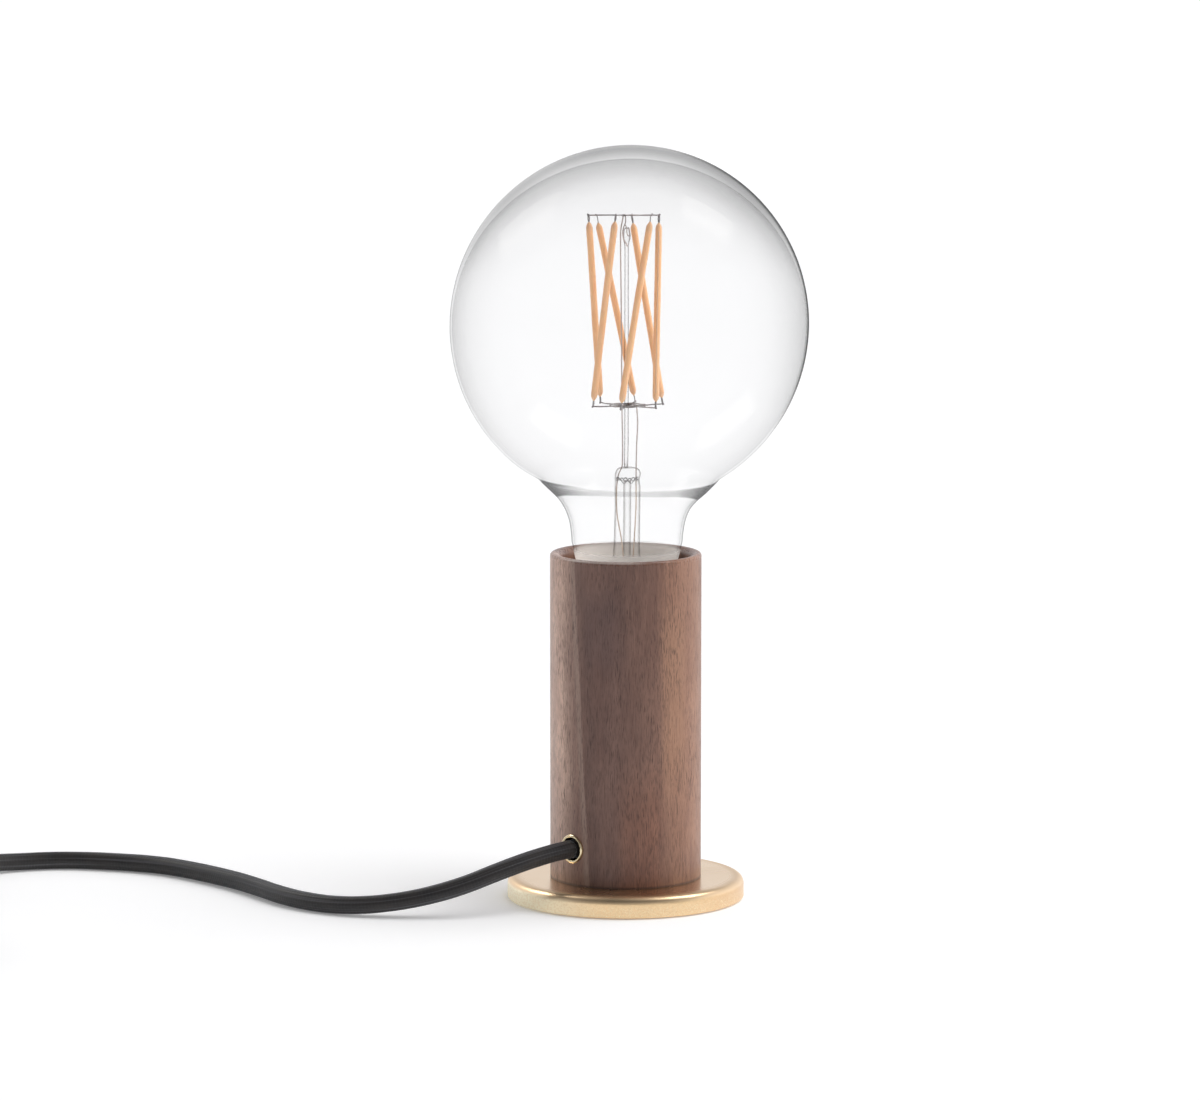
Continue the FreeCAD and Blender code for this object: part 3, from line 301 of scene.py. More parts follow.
# ---------------------------------------------------------------- materials
def make_walnut():
    s = Shader("walnut", rough=0.4, Specular_IOR_Level=0.5)
    X, Y, Z = s.axes(s.place())
    # how far round the column a point is, from -1 on the lead's left to 1 on the right, and its angle
    a = s.math("MULTIPLY", s.math("SUBTRACT", X, Y), 0.70711)
    b = s.math("MULTIPLY", s.math("ADD", X, Y), -0.70711)
    face = s.math("MULTIPLY", s.math("ARCTAN2", a, b), 57.2958)
    wander = s.noise(s.place((0.05, 0.05, 0.012), (7, 3, 1)), 1.0, 2.0, 0.5)
    soft = s.noise(s.place((0.10, 0.10, 0.030), (2, 6, 3)), 1.0, 3.0, 0.55)
    figure = s.noise(s.place((0.26, 0.26, 0.075), (9, 1, 5)), 1.0, 4.0, 0.6)
    fibre = s.noise(s.place((1.3, 1.3, 0.06), (3, 5, 2)), 1.0, 4.0, 0.65)
    hair = s.noise(s.place((3.4, 3.4, 0.16), (8, 2, 6)), 1.0, 3.0, 0.6)
    tone = s.math("ADD", s.math("MULTIPLY", soft, 0.34), s.math("ADD", s.math("MULTIPLY", figure, 0.28), s.math("ADD", s.math("MULTIPLY", fibre, 0.24), s.math("MULTIPLY", hair, 0.14))))
    wood = s.ramp(tone, [(0.32, (0.132, 0.062, 0.044)), (0.45, (0.175, 0.088, 0.063)), (0.55, (0.215, 0.113, 0.081)), (0.68, (0.272, 0.149, 0.108))])
    # painted light and shade by the side of the column: much paler and greyer at the left edge, darker across the
    # middle, brighter and warmer on the right
    drift = s.math("ADD", face, s.math("MULTIPLY", s.math("SUBTRACT", wander, 0.5), 22.0))
    painted_side_light = s.ramp(s.span(drift, -60.0, 60.0, 0.0, 1.0, smooth=False),
                   [(0.0, (3.1, 3.90, 4.20)), (0.05, (2.28, 2.80, 3.00)), (0.12, (1.45, 1.66, 1.80)), (0.22, (1.06, 1.08, 1.12)), (0.29, (0.90, 0.90, 0.95)), (0.42, (0.78, 0.77, 0.82)), (0.58, (0.87, 0.85, 0.86)),
                    (0.72, (1.02, 0.99, 0.97)), (0.84, (1.58, 1.54, 1.36)), (1.0, (1.64, 1.60, 1.42))])
    # the far side is plain, so that both ends of the shading meet
    painted_side_light = s.mix(s.span(s.math("ABSOLUTE", face), 76.0, 104.0), painted_side_light, (1.15, 1.13, 1.08))
    wood = s.mix(1.0, wood, painted_side_light, "MULTIPLY")
    lean = s.math("ADD", face, s.math("MULTIPLY", s.math("SUBTRACT", Z, 65.0), 0.115))
    lean = s.math("ADD", lean, s.math("MULTIPLY", s.math("SUBTRACT", wander, 0.5), 5.0))
    pale = s.math("MULTIPLY", s.span(lean, -42.5, -38.0), s.span(lean, -36.8, -34.4, 1.0, 0.0))
    wood = s.mix(s.math("MULTIPLY", pale, 0.72), wood, (0.33, 0.225, 0.180))
    dark = s.math("MULTIPLY", s.span(lean, -36.4, -34.6), s.span(lean, -31.0, -18.0, 1.0, 0.0))
    wood = s.mix(s.math("MULTIPLY", dark, 0.30), wood, (0.080, 0.044, 0.038))
    cloud = s.math("MULTIPLY", s.math("MULTIPLY", s.span(face, -40.0, -28.0), s.span(face, -14.0, 2.0, 1.0, 0.0)), s.math("MULTIPLY", s.span(Z, 78.0, 96.0), s.span(Z, 104.0, 117.0, 1.0, 0.0)))
    wood = s.mix(s.math("MULTIPLY", cloud, 0.42), wood, (0.090, 0.052, 0.052))
    warm = s.math("MULTIPLY", s.span(drift, 26.0, 38.0), s.span(drift, 46.0, 56.0, 1.0, 0.0))
    warm = s.math("MULTIPLY", warm, s.math("MULTIPLY", s.span(Z, 30.0, 62.0), s.span(Z, 92.0, 112.0, 1.0, 0.0)))
    wood = s.mix(s.math("MULTIPLY", warm, 0.50), wood, (0.42, 0.225, 0.135))
    # redder heartwood low on the front
    ruddy = s.math("MULTIPLY", s.math("MULTIPLY", s.span(face, -12.0, 4.0), s.span(face, 20.0, 34.0, 1.0, 0.0)), s.span(Z, 26.0, 60.0, 1.0, 0.0))
    wood = s.mix(ruddy, wood, s.mix(1.0, wood, (1.30, 1.16, 1.03), "MULTIPLY"))
    # short dark pores, thicker in some places than in others
    crowd = s.span(s.noise(s.place((0.11, 0.11, 0.035), (4, 7, 7)), 1.0, 2.0, 0.5), 0.35, 0.65, 0.45, 1.0)
    pores = s.span(s.noise(s.place((3.3, 3.3, 0.26), (1, 9, 4)), 1.0, 1.0, 0.5), 0.56, 0.66)
    small = s.span(s.noise(s.place((4.2, 4.2, 0.40), (5, 5, 1)), 1.0, 1.0, 0.5), 0.55, 0.66)
    streak = s.span(s.noise(s.place((0.9, 0.9, 0.035), (11, 2, 8)), 1.0, 2.0, 0.55), 0.60, 0.76)
    wood = s.mix(s.math("MULTIPLY", streak, 0.42), wood, (0.080, 0.044, 0.034))
    wood = s.mix(s.math("MULTIPLY", s.math("MULTIPLY", small, crowd), 0.52), wood, (0.052, 0.028, 0.022))
    wood = s.mix(s.math("MULTIPLY", s.math("MULTIPLY", pores, crowd), 0.58), wood, (0.040, 0.022, 0.018))
    # painted shade where the foot meets the disc, and a painted highlight along the lip on the near left
    wood = s.mix(s.span(Z, 7.8, 8.7, 0.6, 0.0), wood, (0.030, 0.018, 0.014))
    out = s.math("SQRT", s.math("ADD", s.math("MULTIPLY", X, X), s.math("MULTIPLY", Y, Y)))
    # painted highlight along the near left lip
    painted_lip_glint = s.math("MULTIPLY", s.math("MULTIPLY", s.span(Z, 121.5, 122.1), s.span(out, 25.0, 25.6)), s.math("MULTIPLY", s.span(face, -52.0, -38.0), s.span(face, -2.0, 24.0, 1.0, 0.0)))
    wood = s.mix(s.math("MULTIPLY", painted_lip_glint, 0.6), wood, (0.52, 0.44, 0.40))
    s.set("Base Color", wood)
    lip = s.span(Z, 120.4, 121.6, 0.0, 1.0)
    s.set("Roughness", s.math("ADD", s.math("SUBTRACT", s.span(fibre, 0.3, 0.7, 0.34, 0.44), s.math("MULTIPLY", lip, 0.12)), s.math("MULTIPLY", pores, 0.2)))
    height = s.math("SUBTRACT", s.math("MULTIPLY", fibre, 0.25), s.math("ADD", s.math("MULTIPLY", pores, 0.8), s.math("MULTIPLY", small, 0.4)))
    s.set("Normal", s.bump(height, 0.2, 0.0001))
    return s.m


def make_brass_disc():
    s = Shader("brass_disc", (0.80, 0.61, 0.38), 0.26, 1.0)
    X, Y, Z = s.axes(s.place())
    side = s.span(Z, 5.0, 6.6, 1.0, 0.0)
    low = s.span(Z, 3.4, 6.0, 1.0, 0.0)
    sand = s.noise(s.place((3.0, 3.0, 3.0)), 1.0, 3.0, 0.65)
    sand2 = s.noise(s.place((1.0, 1.0, 1.6), (4, 4, 4)), 1.0, 3.0, 0.6)
    cloud = s.noise(s.place((0.05, 0.05, 0.08), (2, 0, 5)), 1.0, 2.0, 0.5)
    rad = s.math("SQRT", s.math("ADD", s.math("MULTIPLY", X, X), s.math("MULTIPLY", Y, Y)))
    lines = s.noise(s.math("MULTIPLY", rad, 3.3), 1.0, 3.0, 0.6, dim="1D")
    across = s.math("MULTIPLY", s.math("SUBTRACT", X, Y), 0.70711)
    # painted light: the side wall is drawn paler on the left and darker towards the right
    wall = s.mix(s.span(across, -38.0, -6.0), (1.0, 0.93, 0.70), s.mix(s.span(across, 18.0, 38.0), (0.92, 0.668, 0.388), (0.84, 0.58, 0.345)))
    base = s.mix(side, s.mix(cloud, (0.80, 0.59, 0.37), (0.88, 0.67, 0.44)), wall)
    base = s.mix(s.math("MULTIPLY", s.span(sand2, 0.42, 0.62), s.math("MULTIPLY", side, 0.38)), base, (0.76, 0.54, 0.29))
    s.set("Base Color", s.mix(s.math("MULTIPLY", low, s.math("MULTIPLY", s.span(sand, 0.50, 0.62), 0.75)), base, (0.99, 0.85, 0.61)))
    r = s.math("ADD", s.span(cloud, 0.3, 0.7, 0.22, 0.28), s.math("MULTIPLY", side, 0.08))
    r = s.math("ADD", r, s.math("MULTIPLY", s.math("MULTIPLY", s.span(rad, 36.0, 39.5), s.span(Z, 5.6, 6.8)), 0.13))
    s.set("Roughness", r)
    h = s.math("ADD", s.math("MULTIPLY", sand, s.span(low, 0.0, 1.0, 0.03, 1.2)), s.math("MULTIPLY", lines, 0.12))
    s.set("Normal", s.bump(h, 0.22, 0.0001))
    return s.m


def make_metal(name, color, rough, grain=(0.6, 0.6, 0.6), vary=0.08, bump=0.05):
    s = Shader(name, color, rough, 1.0)
    n = s.noise(s.place(grain), 1.0, 3.0, 0.6)
    dark = tuple(c * (1 - vary * 2.2) for c in color)
    s.set("Base Color", s.mix(s.span(n, 0.3, 0.75), color, dark))
    s.set("Roughness", s.span(n, 0.25, 0.75, max(0.05, rough - vary), rough + vary))
    s.set("Normal", s.bump(n, bump, 0.0001))
    return s.m


def make_plastic(name, color, rough, grain=1.2, bump=0.12, vary=0.15):
    s = Shader(name, color, rough, Specular_IOR_Level=0.5)
    n = s.noise(s.place((grain,) * 3), 1.0, 3.0, 0.6)
    slow = s.noise(s.place((0.05,) * 3, (5, 1, 3)), 1.0, 2.0, 0.5)
    s.set("Base Color", s.mix(slow, color, tuple(c * (1 - vary) for c in color)))
    s.set("Roughness", s.span(slow, 0.3, 0.7, rough - 0.04, rough + 0.05))
    s.set("Normal", s.bump(n, bump, 0.0001))
    return s.m


def make_felt():
    s = Shader("felt", (0.05, 0.05, 0.052), 0.95, Sheen_Weight=0.3)
    n = s.noise(s.place((2.4, 2.4, 2.4)), 1.0, 5.0, 0.7)
    s.set("Base Color", s.mix(n, (0.03, 0.03, 0.032), (0.085, 0.085, 0.09)))
    s.set("Normal", s.bump(n, 0.6, 0.0003))
    return s.m


def make_glass(name, tint=(1.0, 1.0, 1.0), ior=1.5):
    s = Shader(name, tint, 0.0, 0.0, Transmission_Weight=1.0, IOR=ior)
    return s.m


def make_globe_glass(name, side, crown, neck, gloss, outer):
    """Clear blown glass: hardly there face on, greyer where it is seen edge on, most of all in the thick crown."""
    s = Shader(name)
    s.t.nodes.remove(s.p)
    lw = s.add("ShaderNodeLayerWeight")
    lw.inputs["Blend"].default_value = 0.5
    f = lw.outputs["Facing"]
    X, Y, Z = s.axes(s.place())
    tint = s.mix(s.span(Z, 213.0, 250.0), s.ramp(f, side), s.ramp(f, crown))
    # the wall thins out towards the neck
    tint = s.mix(s.span(Z, 152.0, 205.0, 0.42, 0.0), tint, (1.0, 1.0, 1.0))
    tint = s.mix(s.span(Z, 146.0, 150.5, 1.0, 0.0), tint, s.ramp(f, neck))
    if outer:
        lit = s.math("MULTIPLY", s.math("SUBTRACT", Y, X), 0.70711 / 62.5)
        tint = s.mix(s.math("MULTIPLY", s.span(lit, 0.12, 0.50, 0.0, 0.17), s.span(Z, 225.0, 240.0)), tint, (1.0, 1.0, 1.0))
        # painted shade: the rim is drawn darker on one side, as a dark reflection would darken it
        across = s.math("MULTIPLY", s.math("SUBTRACT", X, Y), 0.70711 * 0.94 / 62.5)
        w = s.span(s.math("MULTIPLY_ADD", s.math("SUBTRACT", Z, 202.3), 0.34 / 62.5, across), 0.50, 0.90)
        painted_dark_rim = s.ramp(f, [(0.0, 1.0), (0.38, 0.99), (0.57, 0.965), (0.67, 0.97), (0.77, 0.955), (0.81, 0.93), (0.84, 0.80), (0.87, 0.58), (0.91, 0.38), (1.0, 0.26)])
        tint = s.mix(w, tint, s.mix(1.0, tint, painted_dark_rim, "MULTIPLY"))
        # the turn from globe to neck bends light away and looks dark
        tip = s.math("MULTIPLY_ADD", across, 1.6, Z)
        above = s.math("MULTIPLY_ADD", f, 8.2, s.math("SUBTRACT", tip, 149.75))
        band = s.math("MULTIPLY", s.math("MULTIPLY", s.span(above, -0.35, 0.35), s.span(s.math("MULTIPLY_ADD", f, -2.4, tip), 146.45, 147.3, 1.0, 0.0)), s.span(f, 0.34, 0.40))
        # only where light enters the glass, not where it leaves it
        enter = s.add("ShaderNodeFresnel")
        enter.inputs["IOR"].default_value = 1.45
        band = s.math("MULTIPLY", band, s.span(enter.outputs[0], 0.55, 0.85, 1.0, 0.0))
        turn = s.ramp(f, [(0.0, 0.92), (0.40, 0.80), (0.51, 0.73), (0.56, 0.63), (0.60, 0.51), (0.66, 0.38), (0.72, 0.29), (0.86, 0.24), (1.0, 0.24)])
        tint = s.mix(band, tint, turn)
    clear = s.add("ShaderNodeBsdfTransparent")
    s.link(tint, clear.inputs[0])
    shine = s.add("ShaderNodeBsdfGlossy")
    shine.inputs["Roughness"].default_value = 0.04
    shine.inputs["Color"].default_value = (0.95, 0.95, 0.95, 1)
    mix = s.add("ShaderNodeMixShader")
    s.link(s.ramp(f, gloss), mix.inputs[0])
    s.link(clear.outputs[0], mix.inputs[1])
    s.link(shine.outputs[0], mix.inputs[2])
    # a pale bloom on the glass down in the column's mouth
    haze = s.add("ShaderNodeBsdfDiffuse")
    haze.inputs["Color"].default_value = (0.97, 0.94, 0.90, 1)
    through = s.add("ShaderNodeBsdfTranslucent")
    through.inputs["Color"].default_value = (0.98, 0.95, 0.91, 1)
    bloom = s.add("ShaderNodeMixShader")
    bloom.inputs[0].default_value = 0.5
    s.link(haze.outputs[0], bloom.inputs[1])
    s.link(through.outputs[0], bloom.inputs[2])
    last = s.add("ShaderNodeMixShader")
    s.link(s.ramp(s.span(Z, 118.0, 124.4, 0.0, 1.0, smooth=False), [(0.0, 0.86), (0.44, 0.78), (0.68, 0.60), (0.80, 0.38), (0.90, 0.12), (1.0, 0.0)]), last.inputs[0])
    s.link(mix.outputs[0], last.inputs[1])
    s.link(bloom.outputs[0], last.inputs[2])
    s.link(last.outputs[0], s.out.inputs[0])
    return s.m


def make_clear_rod(name, stops, tone=(1.0, 1.0, 1.0), gloss=0.02):
    """Clear glass rod or tube: see-through face on, with grey edges."""
    s = Shader(name)
    s.t.nodes.remove(s.p)
    lw = s.add("ShaderNodeLayerWeight")
    lw.inputs["Blend"].default_value = 0.5
    clear = s.add("ShaderNodeBsdfTransparent")
    s.link(s.ramp(lw.outputs["Facing"], [(a, tuple(1 - (1 - v) * t for t in tone)) for a, v in stops]), clear.inputs[0])
    shine = s.add("ShaderNodeBsdfGlossy")
    shine.inputs["Roughness"].default_value = 0.05
    mix = s.add("ShaderNodeMixShader")
    mix.inputs[0].default_value = gloss
    s.link(clear.outputs[0], mix.inputs[1])
    s.link(shine.outputs[0], mix.inputs[2])
    s.link(mix.outputs[0], s.out.inputs[0])
    return s.m


def make_lead_in():
    """Thin wire: dull grey above the glass, copper plated inside it."""
    s = Shader("lead_in_wire", (0.34, 0.28, 0.26), 0.36, 1.0)
    X, Y, Z = s.axes(s.place())
    n = s.noise(s.place((1.5, 1.5, 0.6)), 1.0, 3.0, 0.6)
    grey = s.mix(n, (0.50, 0.43, 0.41), (0.58, 0.50, 0.47))
    s.set("Base Color", s.mix(s.span(Z, 144.5, 147.5, 1.0, 0.0), grey, (0.70, 0.58, 0.49)))
    s.set("Roughness", s.span(n, 0.3, 0.7, 0.3, 0.42))
    return s.m


def make_filament():
    s = Shader("filament", (0.72, 0.37, 0.18), 0.40, Specular_IOR_Level=0.35, Subsurface_Weight=0.12, Subsurface_Scale=0.0012)
    s.p.inputs["Subsurface Radius"].default_value = (1.0, 0.5, 0.2)
    n = s.noise(s.place((0.7, 0.7, 0.16)), 1.0, 3.0, 0.55)
    X, Y, Z = s.axes(s.place())
    skin = s.mix(s.span(n, 0.3, 0.72), (0.99, 0.595, 0.335), (0.96, 0.545, 0.295))
    ends = s.math("ADD", s.span(Z, 234.0, 237.8), s.span(Z, 176.5, 182.0, 1.0, 0.0))
    s.set("Base Color", s.mix(s.math("MULTIPLY", ends, 0.5), skin, (0.78, 0.52, 0.34)))
    s.set("Roughness", s.span(n, 0.3, 0.7, 0.34, 0.44))
    s.set("Normal", s.bump(n, 0.06, 0.0002))
    return s.m


def make_braid():
    """Black textile sleeve: crossed yarns worked out from the lengthwise and round-the-lead map."""
    s = Shader("cord_braid", (0.02, 0.02, 0.022), 0.62, Specular_IOR_Level=0.45, Sheen_Weight=0.24, Sheen_Roughness=0.35)
    s.p.inputs["Sheen Tint"].default_value = (0.85, 0.92, 1.0, 1)
    c = s.add("ShaderNodeTexCoord")
    U, V, _ = s.axes(c.outputs["UV"])
    # U runs once round the lead, V is millimetres along it
    up = s.math("SINE", s.math("MULTIPLY", s.math("ADD", s.math("MULTIPLY", V, 0.42), s.math("MULTIPLY", U, 9.0)), 6.28318))
    down = s.math("SINE", s.math("MULTIPLY", s.math("SUBTRACT", s.math("MULTIPLY", V, 0.42), s.math("MULTIPLY", U, 9.0)), 6.28318))
    rib = s.math("SINE", s.math("MULTIPLY", V, 6.28318 / 0.62))
    weave = s.math("MULTIPLY", up, down)
    fuzz = s.noise(s.place((2.6, 2.6, 2.6)), 1.0, 3.0, 0.7)
    slow = s.noise(s.place((0.12, 0.12, 0.12)), 1.0, 2.0, 0.5)
    h = s.math("ADD", s.math("MULTIPLY", weave, 0.42), s.math("MULTIPLY", rib, 0.08))
    tone = s.math("ADD", s.math("MULTIPLY", h, 0.35), s.math("MULTIPLY", fuzz, 0.9))
    col = s.ramp(tone, [(0.15, (0.007, 0.007, 0.008)), (0.5, (0.017, 0.0160, 0.0165)), (0.85, (0.042, 0.041, 0.043))])
    col = s.mix(s.span(slow, 0.35, 0.65, 0.0, 0.5), col, (0.028, 0.023, 0.021))
    # painted sheen: paler lines that run along the folds
    join = s.add("ShaderNodeCombineXYZ")
    s.link(s.math("SINE", s.math("MULTIPLY", U, 6.28318)), join.inputs[0])
    s.link(s.math("COSINE", s.math("MULTIPLY", U, 6.28318)), join.inputs[1])
    s.link(s.math("MULTIPLY", V, 0.012), join.inputs[2])
    painted_sheen_lines = s.noise(s.place((3.4, 3.4, 1.0), (2, 5, 1), source=join.outputs[0]), 1.0, 2.0, 0.6)
    s.set("Base Color", s.mix(s.math("MULTIPLY", s.span(painted_sheen_lines, 0.50, 0.66), 0.62), col, (0.085, 0.084, 0.090)))
    s.set("Roughness", s.span(fuzz, 0.3, 0.7, 0.44, 0.6))
    s.set("Normal", s.bump(s.math("ADD", h, s.math("MULTIPLY", fuzz, 0.5)), 0.36, 0.0002))
    return s.m


walnut = make_walnut()
brass_disc = make_brass_disc()
brass_polished = make_metal("brass_ferrule", (0.88, 0.74, 0.48), 0.14, (1.2, 1.2, 1.2), 0.03, 0.02)
brass_pressed = make_metal("brass_pressed", (0.72, 0.55, 0.30), 0.28, (0.5, 0.5, 0.5), 0.08)
cap_brass = make_metal("cap_brass", (0.76, 0.64, 0.42), 0.26, (0.4, 0.4, 0.8), 0.08)
zinc = make_metal("zinc_steel", (0.60, 0.60, 0.61), 0.32, (0.9, 0.9, 0.9), 0.08)
nickel_wire = make_metal("nickel_wire", (0.34, 0.32, 0.32), 0.34, (1.5, 1.5, 1.5), 0.08)
copper_wire = make_metal("copper_wire", (0.72, 0.44, 0.28), 0.3, (1.5, 1.5, 1.5), 0.06)
pin_nickel = make_metal("pin_nickel", (0.76, 0.75, 0.72), 0.18, (1.0, 1.0, 1.0), 0.04)
felt = make_felt()
globe_outer = make_globe_glass("globe_outer",
                               [(0.0, 0.984), (0.22, 0.983), (0.34, 0.977), (0.41, 0.972), (0.53, 0.959), (0.59, 0.948), (0.64, 0.936), (0.71, 0.92), (0.80, 0.90), (0.87, 0.87), (0.92, 0.78), (1.0, 0.55)],
                               [(0.0, 0.984), (0.234, 0.966), (0.296, 0.960), (0.331, 0.952), (0.37, 0.937), (0.414, 0.917), (0.463, 0.892), (0.519, 0.866), (0.59, 0.838), (0.625, 0.815), (0.66, 0.768), (0.70, 0.722), (0.74, 0.675), (0.80, 0.648), (0.87, 0.68), (1.0, 0.71)],
                               [(0.0, 0.99), (0.40, 0.986), (0.56, 0.975), (0.65, 0.955), (0.744, 0.91), (0.82, 0.79), (0.87, 0.66), (1.0, 0.45)],
                               [(0.0, 0.004), (0.7, 0.008), (1.0, 0.02)], True)
globe_inner = make_globe_glass("globe_inner",
                               [(0.0, 0.984), (0.22, 0.983), (0.34, 0.977), (0.41, 0.972), (0.53, 0.959), (0.59, 0.948), (0.64, 0.936), (0.71, 0.92), (0.80, 0.90), (0.87, 0.89), (1.0, 0.86)],
                               [(0.0, 0.984), (0.40, 0.964), (0.474, 0.956), (0.508, 0.95), (0.549, 0.9415), (0.597, 0.924), (0.66, 0.902), (0.75, 0.88), (0.90, 0.84), (1.0, 0.83)],
                               [(0.0, 0.99), (0.56, 0.988), (0.65, 0.98), (0.744, 0.965), (0.87, 0.91), (1.0, 0.84)],
                               [(0.0, 0.002), (1.0, 0.004)], False)
stem_clear = make_clear_rod("stem_clear", [(0.0, 0.995), (0.36, 0.985), (0.47, 0.93), (0.56, 0.80), (0.66, 0.72), (0.85, 0.66), (1.0, 0.60)], (1.0, 1.03, 1.05))
tube_clear = make_clear_rod("tube_clear", [(0.0, 0.99), (0.09, 0.97), (0.20, 0.86), (0.34, 0.78), (0.6, 0.74), (1.0, 0.66)], (1.0, 1.03, 1.05))
rod_clear = make_clear_rod("rod_clear", [(0.0, 0.98), (0.14, 0.96), (0.28, 0.76), (0.42, 0.60), (0.8, 0.52), (1.0, 0.46)], (1.0, 1.04, 1.05))
seam_grey = make_plastic("stem_seam", (0.33, 0.32, 0.32), 0.25, 1.0, 0.02, 0.1)
seal_glass = make_clear_rod("seal_glass", [(0.0, 0.95), (0.5, 0.86), (0.8, 0.6), (1.0, 0.45)], (1.0, 1.0, 1.0), 0.05)
lead_wire = make_lead_in()
filament = make_filament()
carrier = make_plastic("filament_carrier", (0.80, 0.52, 0.34), 0.4, 0.8, 0.04, 0.06)
braid = make_braid()
black_plastic = make_plastic("black_plastic", (0.022, 0.022, 0.024), 0.42, 1.6, 0.2)
rocker_plastic = make_plastic("rocker_plastic", (0.026, 0.026, 0.028), 0.26, 0.8, 0.04)
holder_plastic = make_plastic("holder_plastic", (0.030, 0.030, 0.031), 0.38, 1.0, 0.1)
clamp_plastic = make_plastic("clamp_plastic", (0.66, 0.65, 0.61), 0.45, 0.9, 0.1)
ceramic = make_plastic("ceramic", (0.80, 0.79, 0.74), 0.36, 1.0, 0.12, 0.05)
cement = make_plastic("cement", (0.60, 0.53, 0.43), 0.85, 1.8, 0.4, 0.2)
board_green = make_plastic("board_green", (0.06, 0.22, 0.10), 0.35, 0.6, 0.1)
wire_brown = make_plastic("wire_brown", (0.22, 0.10, 0.05), 0.34, 0.6, 0.04)
wire_blue = make_plastic("wire_blue", (0.04, 0.13, 0.42), 0.34, 0.6, 0.04)
black_glass = make_plastic("black_glass", (0.012, 0.012, 0.013), 0.12, 0.4, 0.02)
tie_fabric = make_plastic("tie_fabric", (0.030, 0.030, 0.032), 0.85, 2.2, 0.7)

FINISH = {
    "base_disc": brass_disc, "felt_pad": felt, "base_screws": zinc, "walnut_column": walnut, "cord_ferrule": brass_polished,
    "cord_inside": braid, "grip_block": clamp_plastic, "grip_strap": clamp_plastic, "grip_screws": zinc, "wire_live": wire_brown,
    "wire_neutral": wire_blue, "stem_tube": zinc, "stem_washer": zinc, "stem_nut": zinc, "holder_dome": holder_plastic,
    "holder_skirt": holder_plastic, "holder_insert": ceramic, "terminal_live": brass_pressed, "terminal_neutral": brass_pressed,
    "terminal_screws": zinc, "thread_sleeve": brass_pressed, "sleeve_foot": brass_pressed, "neutral_strap": brass_pressed,
    "centre_contact": brass_pressed, "bulb_cap": cap_brass, "cap_insulator": black_glass, "cap_contact": pin_nickel,
    "neck_seal": seal_glass, "cap_cement": cement, "driver_board": board_green, "driver_parts": black_plastic,
    "driver_leads": copper_wire, "switch_base": black_plastic, "switch_cover": black_plastic, "switch_pivot": zinc,
    "switch_rocker": rocker_plastic, "switch_screws": zinc, "switch_contacts": brass_pressed, "switch_cores": wire_brown,
    "plug_body": black_plastic, "plug_pins": pin_nickel, "plug_pin_sleeves": black_plastic, "plug_relief": black_plastic,
    "cord_in_plug": braid, "coil_tie": tie_fabric,
}
for name, material in FINISH.items():
    o = node[name]
    o.data.materials.clear()
    o.data.materials.append(material)

# ---------------------------------------------------------------- glass globe
ZC, R, WALL = 202.3, 62.5, 0.9
NECK = [(30.9, 147.4), (27.4, 144.6), (24.5, 141.9), (22.55, 139.1), (21.2, 136.3), (20.3, 133.5), (19.8, 130.7), (19.5, 127.9), (19.4, 126.3),
        (18.9, 124.4), (18.3, 121.6), (17.2, 118.3), (15.2, 115.4), (12.3, 113.3), (11.0, 110.7), (10.8, 107.0), (10.8, 104.0)]
low = -math.asin((ZC - 148.9) / R)
arc = [(R * math.cos(t), ZC + R * math.sin(t)) for t in [math.pi / 2 + (low - math.pi / 2) * k / 84 for k in range(85)]]
arc[0] = (0.0, ZC + R)
neck_line = hermite([(r, z, 0) for r, z in [arc[-2], arc[-1]] + NECK], 5)
outer = arc + [(p.x, p.y) for p in neck_line[6:]]
inner = []
for i, (r, z) in enumerate(outer):
    a, b = outer[max(i - 1, 0)], outer[min(i + 1, len(outer) - 1)]
    dx, dz = b[0] - a[0], b[1] - a[1]
    n = math.hypot(dx, dz)
    # the blown crown is thicker than the sides
    up = max(0.0, (z - ZC) / R)
    wall = 0.8 + 4.0 * up * up
    inner.append((r + dz / n * wall, z - dx / n * wall) if i else (0.0, z - wall))
inner[-1] = (inner[-1][0], outer[-1][1])
SEGS = 192


def bulb_lean(z):
    """The bulb stands a shade off plumb in its thread."""
    d = 0.0095 * (z - 80.0)
    return d * 0.70711, -d * 0.70711


def hand_blown(r, z, a):
    """The turn into the neck is fuller on the right and a little tighter on the left."""
    c = math.cos(a + math.pi / 4)
    if c > 0:
        return 1.3 * c * c * math.exp(-((z - 143.4) / 3.4) ** 2)
    return -0.9 * c * c * math.exp(-((z - 148.6) / 3.0) ** 2)


v, f = lathe(outer + inner[::-1], SEGS, hand_blown, lean=bulb_lean)
globe = mesh_piece("globe", v, f, globe_outer, "bulb", ("glass_globe",))
globe.data.materials.append(globe_inner)
for poly in globe.data.polygons:
    if poly.index >= SEGS * len(outer) - SEGS:
        poly.material_index = 1

# stem: flared tube with a flat, pinched head
so = hermite([(9.75, 104.1, 0), (9.2, 106.5, 0), (7.4, 110.5, 0), (5.8, 115.0, 0), (4.9, 120.0, 0), (4.6, 126.0, 0), (4.5, 132.0, 0), (4.45, 140.0, 0), (4.5, 145.2, 0), (4.32, 147.6, 0),
              (4.42, 148.8, 0), (4.45, 150.2, 0), (4.0, 151.6, 0), (3.0, 152.3, 0), (1.36, 152.35, 0)], 5)


def pinch(r, z, a):
    k = max(0.0, min(1.0, (z - 144.0) / 4.0))
    return k * (-0.5 * r / 4.5 * (0.5 - 0.5 * math.cos(2 * (a + 0.785))) + 0.16 * math.sin(3 * a + z * 0.9) * min(1.0, r / 4.0))


def stem_lean(z):
    d = 0.6 * max(0.0, min(1.0, (z - 108.0) / 30.0))
    return d * 0.70711, -d * 0.70711


prof = [(0.0, 152.4)] + [(p.x, p.y) for p in so[::-1]] + [(0.0, 104.1)]
v, f = lathe(prof, 72, pinch, lean=stem_lean)
